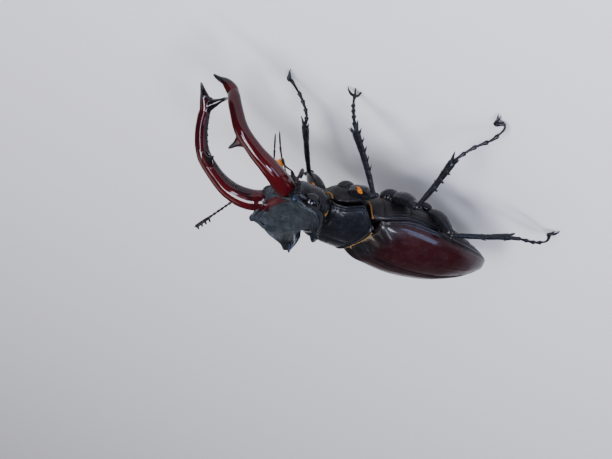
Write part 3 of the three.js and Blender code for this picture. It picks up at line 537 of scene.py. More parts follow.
def elytron(side, mat):
    T = np.unique(np.r_[0, 0.004, 0.01, 0.02, np.linspace(0.03, 0.95, 170), 1 - 0.05 * (1 - np.sin(np.linspace(0, np.pi / 2, 26))) ** 1.6, 0.9965])
    T = T[T <= 0.9965]
    S = np.r_[np.linspace(0, 1, 110)]
    low = 14
    R = []
    tone = []
    for t in T:
        P = elytra_point(np.full(len(S), t), S)
        inner = 0.025
        W = max(P[-1, 0], 0.6)
        x = P[:, 0]
        # marginal bead, suture bead, shoulder callus, faint long ribs
        edge = W * (1 - S)
        lift = 0.16 * np.exp(-((1 - S) / 0.03) ** 2) - 0.14 * np.exp(-((1 - S - 0.075) / 0.035) ** 2)
        lift += 0.11 * np.exp(-((x - 0.5) / 0.28) ** 2) * smooth(0.02, 0.1, t) - 0.09 * np.exp(-((x - 1.25) / 0.4) ** 2) * smooth(0.02, 0.1, t)
        for c in (0.34, 0.56, 0.74):
            lift += 0.035 * np.exp(-((S - c) / 0.035) ** 2) * smooth(0.03, 0.2, t) * (1 - smooth(0.75, 0.95, t))
        d2 = ((x - 7.3) / 1.5) ** 2 + ((P[:, 1] - 2.4) / 2.2) ** 2
        lift += 0.42 * np.exp(-d2)
        d3 = ((x - 5.2) / 1.3) ** 2 + ((P[:, 1] - 1.6) / 1.6) ** 2
        lift -= 0.18 * np.exp(-d3)
        # normal in the section
        dS = np.gradient(P, axis=0)
        nrm = unit(np.stack([-dS[:, 2], np.zeros(len(S)), dS[:, 0]], -1))
        nrm[np.abs(nrm).sum(1) < 0.5] = [0, 0, 1]
        top = P + nrm * lift[:, None]
        top[:, 0] = np.maximum(top[:, 0], inner)
        # front edge rolls down
        top[:, 2] -= 0.5 * np.exp(-(t / 0.012) ** 2)
        zl = min(P[-1, 2] - 0.28, P[0, 2] - 0.35)
        f = np.linspace(0, 1, low + 2)[1:-1]
        xb = W * 0.985 * (1 - f) + inner * f
        zb = zl - 0.1 * np.sin(np.pi * f) * 0 + 0 * f
        zb = np.where(f < 0.02, zl, zl)
        under = np.stack([xb, np.full(low, ELYTRA_LENGTH * t), zb + 0 * f], -1)
        # rounded outer lip
        lip = np.array([[W * 1.004, ELYTRA_LENGTH * t, P[-1, 2] - 0.12], [W * 0.998, ELYTRA_LENGTH * t, zl + 0.03]])
        seam = np.array([[inner, ELYTRA_LENGTH * t, zl * 0.5 + 0.5 * (top[0, 2] - 0.5)]])
        ring = np.vstack([top, lip, under, seam])
        R.append(ring)
        red = smooth(0.03, 0.17, t) * (1 - smooth(0.8, 0.97, t)) * (1 - 0.85 * smooth(0.86, 0.985, S)) * (0.5 + 0.5 * smooth(0.0, 0.14, S))
        red = red * (0.62 + 0.38 * smooth(0.04, 0.3, t))
        tone.append(np.r_[red, np.zeros(len(ring) - len(S))])
    R = np.array(R)
    q0, q1 = R[0].mean(0), R[-1].mean(0)
    q0[1] += 0.4
    R = np.concatenate([np.repeat(q0[None, None], R.shape[1], 1), R, np.repeat((q1 + [0, 0.1, 0])[None, None], R.shape[1], 1)])
    tone = np.concatenate([[0], np.concatenate(tone), [0]])
    V, F = rows_mesh(mir(R, side))
    return to_object("elytron_shell_" + side, V, F, mat, {"tone": tone}, ["elytron_" + side])


PHW = [[0, 7.2], [.12, 8.2], [.35, 9.2], [.6, 9.9], [.74, 9.4], [.88, 8.5], [1, 7.8]]
PMG = [[0, -.4], [.25, .1], [.6, -.9], [.8, .9], [1, 2.4]]
PCR = [[0, 3.5], [.3, 4.2], [.6, 4.5], [1, 4.4]]
PF, PB = -11.6, -1.0


def pronotum_point(u, e):
    """u 0 front .. 1 back, e -1 right .. 1 left"""
    w, zm, zc = pchip(PHW, u), pchip(PMG, u), pchip(PCR, u)
    y = PF * (1 - u) + PB * u
    s = np.abs(e)
    z = zm + (zc - zm) * np.maximum(0, 1 - s ** 2.8) ** (1 / 1.5) - 0.35 * (1 - smooth(0.0, 0.09, u))
    yy = y + 0.9 * (1 - s * s) * (1 - u) * (0.6 + 0.4 * (1 - smooth(0.1, 0.28, u))) - 0.35 * (1 - s) * u
    return np.stack([w * e, yy, z], -1)


def pronotum(mat):
    U = np.unique(np.r_[0, 0.006, 0.015, 0.03, np.linspace(0.045, 0.955, 110), 0.97, 0.985, 0.994, 1])
    A = np.linspace(-0.5, 0.5, 181)
    E = np.sin(A * np.pi)
    R, shine = [], []
    for u in U:
        P = pronotum_point(np.full(len(E), u), E)
        s = np.abs(E)
        dE = np.gradient(P, axis=0)
        n = unit(np.stack([-dE[:, 2], np.zeros(len(E)), dE[:, 0]], -1))
        n[:, 2] = np.where(np.abs(n).sum(1) < 0.5, 1, n[:, 2])
        arc = np.r_[0, np.cumsum(np.linalg.norm(np.diff(P, axis=0), axis=1))]
        edge = np.minimum(arc, arc[-1] - arc)
        lift = 0.2 * np.exp(-((edge - 0.2) / 0.24) ** 2) - 0.16 * np.exp(-((edge - 0.75) / 0.35) ** 2)
        y = P[:, 1]
        lift += 0.15 * np.exp(-((u - 0.035) / 0.03) ** 2) - 0.14 * np.exp(-((u - 0.1) / 0.04) ** 2)
        lift += 0.2 * np.exp(-((u - 0.975) / 0.022) ** 2) - 0.16 * np.exp(-((u - 0.92) / 0.035) ** 2)
        lift -= 0.12 * np.exp(-(P[:, 0] / 0.8) ** 2) * smooth(0.15, 0.35, u) * (1 - smooth(0.75, 0.92, u))
        lift -= 0.16 * np.exp(-(((np.abs(P[:, 0]) - 6.2) / 1.2) ** 2 + ((u - 0.48) / 0.12) ** 2))
        top = P + n * lift[:, None]
        k = 8
        f = np.linspace(0, 1, k + 2)[1:-1]
        w, zm = pchip(PHW, u), pchip(PMG, u)
        under = np.stack([w * 0.95 * (1 - 2 * f), np.full(k, PF * (1 - u) + PB * u), np.full(k, zm - 0.55) - 0.3 * np.sin(np.pi * f)], -1)
        R.append(np.vstack([top, under]))
        shine.append(np.r_[smooth(0.8, 0.92, s) * 0.9, np.zeros(k)])
    R = np.array(R)
    q0, q1 = np.array([0, PF + 1.4, 1.4]), np.array([0, PB - 0.6, 2.6])
    R = np.concatenate([np.repeat(q0[None, None], R.shape[1], 1), R, np.repeat(q1[None, None], R.shape[1], 1)])
    V, F = rows_mesh(R)
    return to_object("pronotum_shell", V, F, mat, {"shine": np.concatenate([[0], np.concatenate(shine), [0]])}, ["pronotum"])


def under_body(sections, around=96, rnd=2.2, rows=60, wave=None):
    """Flat-topped, round-bellied; sections [y, half width, top, bottom, side level]."""
    y = np.array([s[0] for s in sections], float)
    cols = [[[s[0], s[k]] for s in sections] for k in (1, 2, 3, 4)]
    Y = np.linspace(y[0], y[-1], rows)
    R = []
    for yy in Y:
        w, top, bot, side = [float(pchip(c, yy)) for c in cols]
        e = min(1.0, math.sqrt(max(0.0, 1 - (1 - min(yy - y[0], y[-1] - yy, 0.5) / 0.5) ** 2)) * 0.25 + 0.75)
        k = around // 4
        f = np.linspace(0, 1, k)
        roof = np.stack([w * 0.97 * (1 - 2 * f), np.full(k, yy), np.full(k, top)], -1)
        a = np.pi * np.arange(around - k) / (around - k - 1)
        c, s = np.cos(a), np.sin(a)
        low = np.stack([-w * np.sign(c) * np.abs(c) ** (2 / rnd), np.full(len(a), yy), side - (side - bot) * s ** (2 / rnd)], -1)
        ring = np.vstack([roof, low])
        ctr = np.array([0, yy, (top + bot) / 2])
        ring = ctr + (ring - ctr) * [e, 1, e]
        if wave is not None:
            ring = wave(ring, ctr, yy)
        R.append(ring)
    R = np.array(R)
    c0 = R[0].mean(0)
    c1 = R[-1].mean(0)
    R = np.concatenate([np.repeat(c0[None, None], R.shape[1], 1), R, np.repeat(c1[None, None], R.shape[1], 1)])
    return rows_mesh(R)


# ------------------------------------------------------------------ head
HHW = [[-9.5, 6.4], [-8.9, 8.5], [-8.2, 9.3], [-7, 8.8], [-5.4, 8.6], [-4, 9.3], [-2.8, 9.8], [-1.6, 8.8], [-.9, 7.4], [-.4, 5.8]]
HCR = [[-9.5, 2.4], [-8.3, 3.2], [-7, 3.6], [-5, 4.0], [-3, 4.2], [-1.6, 4.4], [-.9, 4.5], [-.4, 4.1]]
HRM = [[-9.5, .8], [-8.3, 2.5], [-7, 1.5], [-5.4, 1.0], [-4, .7], [-2.8, .5], [-1.6, .6], [-.4, 0]]
HSD = [[-9.5, 1.8], [-8.3, 4.2], [-7, 3.6], [-5.4, 3.4], [-4, 3.4], [-2.8, 3.3], [-1.6, 2.6], [-.4, 1.2]]
HCH = [[-9.5, .2], [-8.3, -1.7], [-6, -3.2], [-3, -3.6], [-.4, -2.4]]
CREST = [[9.2, -5.2, 4.9, 4.2], [9.7, -3.0, 5.1, 4.0], [8.7, -.9, 5.45, 3.8], [6.9, .45, 6.1, 3.6], [5.0, 1.1, 7.5, 3.6], [3.9, 1.0, 7.2, 4.2], [3.2, .5, 5.2, 3.9]]
EYE = np.array([9.0, -4.65, 2.7])


def head_block():
    Y = np.linspace(-9.5, -0.4, 90)
    R = []
    for y in Y:
        w, side, crown, rim, chin = [float(pchip(t, y)) for t in (HHW, HSD, HCR, HRM, HCH)]
        e = np.sin(np.linspace(-0.5, 0.5, 61) * np.pi)
        s = np.abs(e)
        z = crown + rim * s ** 3 * (1 - smooth(0.93, 1.0, s)) + (side - crown) * smooth(0.93, 1.0, s)
        top = np.stack([w * e, np.full(61, y), z], -1)
        a = np.pi * np.arange(1, 41) / 41
        c, sn = np.cos(a), np.sin(a)
        low = np.stack([w * 0.97 * np.sign(c) * np.abs(c) ** .75, np.full(40, y), side - (side - chin) * sn ** .8], -1)
        R.append(np.vstack([top, low]))
    R = np.array(R)
    R = np.concatenate([np.repeat(np.array([[[0, -9.7, 1.3]]]), R.shape[1], 1), R, np.repeat(np.array([[[0, -.4, .6]]]), R.shape[1], 1)])
    return rows_mesh(R)


def crest(side, th=0.36):
    c = np.array(CREST, float)
    s = 1 if side == "left" else -1
    path = Path(np.c_[c[:, :2], np.zeros(len(c))])
    f0 = np.linspace(0, 1, len(c))
    f = np.linspace(0, 1, 80)
    P, T = path.at(f), path.tangent(f)
    top = pchip(np.c_[f0, c[:, 2]].tolist(), f)
    foot = pchip(np.c_[f0, c[:, 3]].tolist(), f) - 0.5
    R = []
    a = 2 * np.pi * np.arange(28) / 28
    for i in range(len(f)):
        n = np.array([-T[i, 1], T[i, 0], 0])
        mid, h = (top[i] + foot[i]) / 2, (top[i] - foot[i]) / 2
        cap = math.sqrt(max(0.0, 1 - (1 - min(f[i], 1 - f[i], 0.06) / 0.06) ** 2))
        cc, ss = np.cos(a), np.sin(a)
        wide = th * (0.75 + 0.85 * (1 - (ss + 1) / 2) ** 1.5) * (0.35 + 0.65 * cap)
        ring = P[i] + n * (wide * cc * np.abs(cc) ** 0.1)[:, None]
        ring[:, 2] = mid + h * np.sign(ss) * np.abs(ss) ** 0.8 * (0.6 + 0.4 * cap)
        R.append(ring)
    R = np.array(R)
    R = np.concatenate([np.repeat(R[0].mean(0)[None, None], 28, 1), R, np.repeat(R[-1].mean(0)[None, None], 28, 1)])
    R[..., 0] *= s
    return rows_mesh(R)


def crest_slope(side):
    """Solid wedge that falls from the crest's top edge to the disc."""
    c = np.array(CREST, float)
    s = 1 if side == "left" else -1
    path = Path(np.c_[c[:, :2], np.zeros(len(c))])
    f0 = np.linspace(0, 1, len(c))
    f = np.linspace(0.0, 1.0, 70)
    P = path.at(f)
    top = pchip(np.c_[f0, c[:, 2]].tolist(), f) - 0.12
    R = []
    u = np.linspace(0, 1, 14)
    for i in range(len(f)):
        d = unit(np.array([2.6, -5.2]) - P[i, :2])
        l = 3.4 - 0.6 * f[i]
        out = P[i, :2] - d * 0.1
        line = [[out[0], out[1], 3.0], [out[0], out[1], top[i] - .1]]
        for k in u:
            q = P[i, :2] + d * (0.06 + l * k)
            line.append([q[0], q[1], 4.15 + (top[i] - 4.15) * (1 - k) ** (2.4 - 1.25 * float(smooth(.3, .62, f[i]))) - 0.25 * k])
        q = P[i, :2] + d * (0.06 + l)
        line.append([q[0], q[1], 3.0])
        R.append(np.array(line)[::-1])
    R = np.array(R)
    R = np.concatenate([np.repeat(R[0].mean(0)[None, None], R.shape[1], 1), R, np.repeat(R[-1].mean(0)[None, None], R.shape[1], 1)])
    R[..., 0] *= s
    return rows_mesh(R)


def head(mat):
    parts = [head_block(), crest("left"), crest("right"), ellipsoid((0, -10.0, 1.7), (3.3, 1.9, .75), 24, 40)]
    for s in (1, -1):
        e = EYE * [s, 1, 1]
        # short canthus in front of the eye, low socket rim below and behind it
        parts.append(limb([e + [s * -0.6, -3.2, 0.5], e + [s * 0.2, -2.1, 0.55], e + [s * 0.75, -1.25, 0.6]], [[0, .75, .5], [.6, .6, .4], [1, .2, .18]], 24, 16))
        ring = [e + [s * 0.1, 1.85 * math.cos(a), 1.75 * math.sin(a)] for a in np.linspace(-2.6, -0.2, 9)]
        parts.append(limb(ring, [[0, .2], [.5, .34], [1, .2]], 40, 12, up=(1, 0.05, 0)))
        parts.append(crest_slope("left" if s > 0 else "right"))
        # sharp point of the crest
        parts.append(limb([(s * 5.5, .55, 6.2), (s * 5.2, .95, 7.2), (s * 5.0, 1.15, 7.95)], [[0, 1.5, .42], [.5, 1.1, .36], [.85, .56, .27], [1, .12, .1]], 30, 18, up=(-.5 * s, .9, 0)))
        # back of the cheek, filled up to the neck
        parts.append(limb([(s * 7.6, -4.0, 1.2), (s * 7.4, -2.0, 1.3), (s * 6.4, -.6, 1.3)], [[0, 1.6, 2.2], [.6, 1.8, 2.5], [1, 1.2, 2.0]], 24, 28, up=(0, 0, 1)))
        # double rim in front where the jaw is hung, corner knob and the antenna socket
        parts.append(limb([(s * .3, -10.9, 2.3), (s * 1.7, -9.95, 2.9), (s * 3.7, -9.35, 3.55), (s * 5.8, -9.2, 4.3), (s * 7.6, -8.8, 4.75), (s * 9.2, -8.0, 4.7)], [[0, .16], [.3, .2], [.7, .3], [1, .42]], 60, 14))
        parts.append(limb([(s * 2.6, -8.7, 3.2), (s * 4.2, -8.35, 3.75), (s * 6.2, -8.2, 4.3), (s * 8.4, -7.6, 4.5)], [[0, .14], [.3, .2], [.7, .22], [1, .16]], 50, 12))
        parts.append(ellipsoid((s * 9.2, -8.15, 4.5), (.68, .72, .95), 24, 28))
        parts.append(limb([(s * 9.25, -8.1, 4.5), (s * 9.15, -6.7, 4.45), (s * 9.2, -5.3, 4.6), (s * 9.3, -4.6, 4.7)], [[0, .6], [.4, .5], [1, .4]], 30, 14))
        parts.append(limb([(s * 8.2, -8.8, 1.2), (s * 9.25, -9.1, 1.0)], [[0, .75], [.7, .62], [1, .5]], 14, 16))
    parts.append(limb([(-3.6, -0.15, 4.2), (-1.8, -0.35, 4.25), (0, -0.45, 4.3), (1.8, -0.35, 4.25), (3.6, -0.15, 4.2)], [[0, .5], [.5, .34], [1, .5]], 40, 14))
    V, F, e = fuse(parts, 0.125, 5, 2)
    # fine relief: grains on the disc and cheeks, smooth on crest edges
    x, y, z = V.T
    hi = smooth(5.0, 6.2, z) * smooth(-3.8, -1.5, y)
    neckish = smooth(-1.6, -0.8, y) * (1 - smooth(3.4, 4.3, z))
    under = 1 - smooth(-1.5, 1.0, z)
    knob = np.exp(-(((np.abs(x) - 9.3) / .9) ** 2 + ((y + 8.2) / 1.0) ** 2 + ((z - 5.0) / .8) ** 2))
    n = vertex_normals(V, F)
    frons = smooth(-7.4, -8.3, y) * (1 - smooth(-9.1, -9.5, y)) * smooth(2.3, 2.8, z) * (1 - smooth(3.3, 4.3, np.abs(x)))
    disc = smooth(0.25, 0.6, n[:, 2] - 0.25 * n[:, 1]) * smooth(1.5, 2.6, z)
    shine = np.clip(np.maximum.reduce([0.8 * hi, neckish, 0.6 * under, knob, 0.5 * frons, 0.92 * (1 - disc)]), 0, 1)
    V = V + n * (0.012 * noise3(V, 8.0, 3) * (1 - shine))[:, None] + n * (0.035 * noise3(V, 1.3, 5))[:, None]
    # disc hollow between the crests, muscle mark on each side, and the crest peaks raised a little
    dent = 0.45 * np.exp(-((x / 3.6) ** 2 + ((y + 4.2) / 2.6) ** 2)) * smooth(2.5, 3.5, z)
    dent += 0.28 * np.exp(-(((np.abs(x) - 5.4) / 1.4) ** 2 + ((y + 6.3) / 1.3) ** 2)) * smooth(2.5, 3.5, z)
    V = V - n * dent[:, None]
    for s in (1, -1):
        c = np.array([s * 4.95, 1.1, 7.1])
        w = np.exp(-(((V - c) / [.75, .6, .75]) ** 2).sum(1))
        V = V + np.array([-s * .04, .04, .3]) * w[:, None]
    edge = Path([(.3, -10.9, 2.3), (1.7, -9.95, 2.9), (3.7, -9.35, 3.55), (5.8, -9.2, 4.3), (7.6, -8.8, 4.75), (9.2, -8.0, 4.7)]).at(np.linspace(0, 1, 60))
    A = np.stack([np.abs(x), y, z], -1)
    dist = np.sqrt(((A[:, None, :] - edge[None]) ** 2).sum(-1)).min(1)
    # the front rim is made smooth and given a paler tint; the tint is a painted highlight for the sheen the ridge
    # catches
    rim = (1 - smooth(0.2, 0.5, dist)) * smooth(0.8, 2.0, np.abs(x))
    # painted reflection: where the head gets its blue tint, standing in for the sky glint on the corner knobs and crest
    # peaks
    painted_sky_glint = np.exp(-(((np.abs(x) - 9.5) / .75) ** 2 + ((y + 8.3) / .8) ** 2 + ((z - 5.0) / .75) ** 2))
    painted_sky_glint = np.maximum(painted_sky_glint, np.exp(-(((np.abs(x) - 4.3) / .8) ** 2 + ((y - .9) / .9) ** 2 + ((z - 7.1) / .8) ** 2)))
    return to_object("head_shell", from_head(V), F, mat, {"shine": np.maximum(shine, rim), "red": frons * (1 - rim), "rim": rim, "painted_sky_glint": np.clip(painted_sky_glint, 0, 1)}, ["head"])


def vertex_normals(V, F):
    Q = np.array([f if len(f) == 4 else [*f, f[-1]] for f in F])
    d = np.cross(V[Q[:, 2]] - V[Q[:, 0]], V[Q[:, 3]] - V[Q[:, 1]])
    N = np.zeros_like(V)
    for k in range(4):
        for c in range(3):
            N[:, c] += np.bincount(Q[:, k], d[:, c], len(V))
    return unit(N)


# ------------------------------------------------------------------ mandibles
ML = [[4.9, -20.6, -.9], [7.18, -23.03, -.94], [9.12, -27.02, -2.32], [9.27, -31.09, -4.88], [8.82, -34.56, -8.29], [7.83, -36.23, -12.79], [6.09, -36.9, -17.5]]
MG = [[0, 2.05], [.12, 2.1], [.28, 1.85], [.45, 1.55], [.62, 1.45], [.8, 1.32], [.9, 1.33], [.95, 1.2], [1, .7]]
FORK, FORK_IN, MED, MED_AT = [2.85, -40.3, -20.5], [1.0, -34.4, -18.4], [3.2, -34.4, -5.9], 0.58


def mandible(side, mat):
    sg = 1 if side == "left" else -1
    s = lambda p: mir(p, side)
    line = s(ML)
    path = Path(line)
    root = np.array(ML[-1])
    parts = [limb(path, [[g[0], g[1], g[1] * 1.08] for g in MG], 120, 40)]
    parts.append(limb([s([3.9, -17.6, -.7]), s([4.3, -19.2, -.8]), s(ML[0]), path.at(.06), path.at(.13)], [[0, 1.9, 2.05], [.3, 2.06, 2.24], [.6, 2.07, 2.24], [1, 2.0, 2.15]], 60, 40))
    parts.append(limb([path.at(.9), s(root + [0, 0, .5]), s(mix(root, FORK, .33)) + [0, -.12, -.3], s(mix(root, FORK, .7)), s(FORK)],
                      [[0, 1.05], [.3, 1.3], [.48, 1.12], [.68, .72], [.86, .42], [.95, .26], [1, .1]], 70, 28))
    parts.append(limb([path.at(.9), s(root + [-.1, .25, .5]), s(mix(root, FORK_IN, .5)) + [0, 0, .15], s(mix(root, FORK_IN, .8)), s(FORK_IN)],
                      [[0, 1.0], [.35, 1.22], [.55, .92], [.74, .52], [.9, .34], [1, .1]], 60, 26))
    web = s(root + [-.85, .1, -.55])
    parts.append(ellipsoid(web, (1.15, 1.2, .95), 24, 32))
    base, tip = path.at(MED_AT), s(MED)
    along, into = path.tangent(MED_AT), unit(tip - base)
    thin = unit(np.cross(along, into))
    parts.append(limb([mix(base, tip, .02), mix(base, tip, .4), mix(base, tip, .75), tip],
                      [[0, 3.1, .95], [.12, 2.6, .93], [.2, 2.1, .9], [.36, 1.25, .75], [.6, .62, .55], [.85, .36, .34], [1, .1]], 60, 28, up=thin, cap=0.02))

    def toward(f, ln, back=0.8, up=0.1):
        p, t = path.at(f), path.tangent(f)
        q = np.array([-sg, back, up], float)
        q = unit(q - t * (q @ t))
        r = float(pchip(MG, f))
        return p + q * r * .55, p + q * (r + ln), t
    # denticles: one stout basal, a crowded saw row beyond the median tooth, a few small ones before it
    rowd = [(.2, .2, .3), (.27, .8, .5), (.33, .2, .3), (.37, .26, .34), (.42, .3, .34), (.465, .2, .3), (.50, .26, .32), (.645, .26, .34), (.67, .36, .38), (.695, .22, .32), (.72, .4, .4), (.745, .26, .34),
            (.77, .42, .42), (.795, .24, .34), (.82, .4, .4), (.845, .28, .34), (.87, .38, .38), (.893, .22, .3), (.915, .3, .34)]
    for f, ln, r in rowd:
        a, b, t = toward(f, ln)
        parts.append(limb([a, mix(a, b, .5), b], [[0, r * 1.2, r * .8], [.5, r * .9, r * .62], [.85, r * .5, r * .4], [1, .1, .1]], 14, 12, up=t))
    # ridge that carries the denticles
    for f0, f1 in ((.22, .52), (.62, .93)):
        F_ = np.linspace(f0, f1, 9)
        pts = []
        for f in F_:
            a, b, _ = toward(f, 0.04)
            pts.append(b - 0.3 * unit(b - a))
        parts.append(limb(pts, [[0, .2], [.2, .38], [.8, .38], [1, .2]], 50, 12))
    V, F, e = fuse(parts, 0.09, 9, 4)
    n = vertex_normals(V, F)
    V = V + n * (0.035 * noise3(V, 1.3, 6))[:, None]
    # tone: red in the middle, a little darker at the root, black on teeth and tips
    from_tip = np.minimum(np.linalg.norm(V - s(FORK), axis=1) / 5.2, np.linalg.norm(V - s(FORK_IN), axis=1) / 5.0)
    tone = smooth(0.35, 1.15, from_tip)
    C = path.at(np.linspace(0, 1, 200))
    k = np.argmin(((V[:, None, :] - C[None, ::4, :]) ** 2).sum(-1), axis=1) * 4
    d = V - C[k]
    T = path.tangent(np.linspace(0, 1, 200))[k]
    q = np.array([-sg, .8, .1]) - T * (T @ np.array([-sg, .8, .1]))[:, None]
    q = unit(q)
    inward = np.einsum("ij,ij->i", d, q) / pchip(MG, np.linspace(0, 1, 200))[k]
    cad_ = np.linspace(0, 1, 200)[k]
    tone *= 1 - 0.9 * smooth(0.72, 1.12, inward) * smooth(0.01, 0.12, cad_)
    tone *= 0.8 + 0.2 * smooth(0.0, 0.12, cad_)
    tone = tone * (0.82 + 0.18 * np.cos((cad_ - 0.25) * 6))
    return to_object("mandible_shell_" + side, V, F, mat, {"tone": np.clip(tone, 0, 1)}, ["mandible_" + side])


# ------------------------------------------------------------------ legs
LEGS = {
    "front_right": dict(hip=[-4.4, -7.0, -5.6], knee=[-15.14, -6.13, -1.6], ankle=[-12.2, -11.11, -15.2], foot=[-8.07, -10.28, -26.21], bends=[[-10.93, -11.26, -18.88], [-9.41, -10.93, -21.92]]),
    "front_left": dict(hip=[4.4, -7.0, -5.6], knee=[12.94, -7.38, -13.31], ankle=[1.78, -15.55, -18.46], foot=[3.52, -20.4, -30.07], bends=[[1.65, -15.77, -21.01], [2.17, -17.47, -24.76]]),
    "mid_right": dict(hip=[-4.8, 3.5, -7.0], knee=[-15.36, 4.05, -2.12], ankle=[-26.55, 4.45, -9.64], foot=[-34.18, 9.47, -18.7], bends=[[-29.49, 6.94, -12.4], [-32.38, 9.75, -14.62], [-34.3, 10.7, -17.1]]),
    "mid_left": dict(hip=[4.8, 3.5, -7.0], knee=[14.85, 5.47, -1.44], ankle=[27.2, 6.5, -7.6], foot=[29.07, 13.01, -17.36], bends=[[28.4, 8.7, -10.2], [29.4, 11.4, -13.6]]),
    "hind_right": dict(hip=[-4.8, 11.5, -6.8], knee=[-14.4, 13.85, 0.85], ankle=[-16.16, 27.37, -2.45], foot=[-14.78, 39.19, -7.4], bends=[[-15.82, 30.85, -2.84], [-15.2, 34.6, -3.5], [-14.7, 37.7, -5.1]]),
    "hind_left": dict(hip=[4.8, 11.5, -6.8], knee=[14.18, 15.5, 0.57], ankle=[20.71, 26.55, -4.42], foot=[19.02, 38.57, -7.64], bends=[[20.5, 30.4, -4.9], [19.9, 34.2, -5.6]]),
}
LEG_SIZE = {
    "front": dict(coxa=[2.3, 2.1, 2.0], femur=1.75, tibia=1.0, spines=5, tarsus=.44, sag=0),
    "mid": dict(coxa=[2.3, 2.3, 1.9], femur=1.75, tibia=.9, spines=3, tarsus=.42, sag=-.7),
    "hind": dict(coxa=[3.2, 1.9, 1.6], femur=1.5, tibia=.82, spines=2, tarsus=.4, sag=-1.3),
}
VOX = 0.088


def ground_clamp(ob):
    co = np.zeros(len(ob.data.vertices) * 3, np.float32)
    ob.data.vertices.foreach_get("co", co)
    co = co.reshape(-1, 3)
    co[:, 2] = np.maximum(co[:, 2], 0.0)
    ob.data.vertices.foreach_set("co", co.ravel())
    ob.data.update()


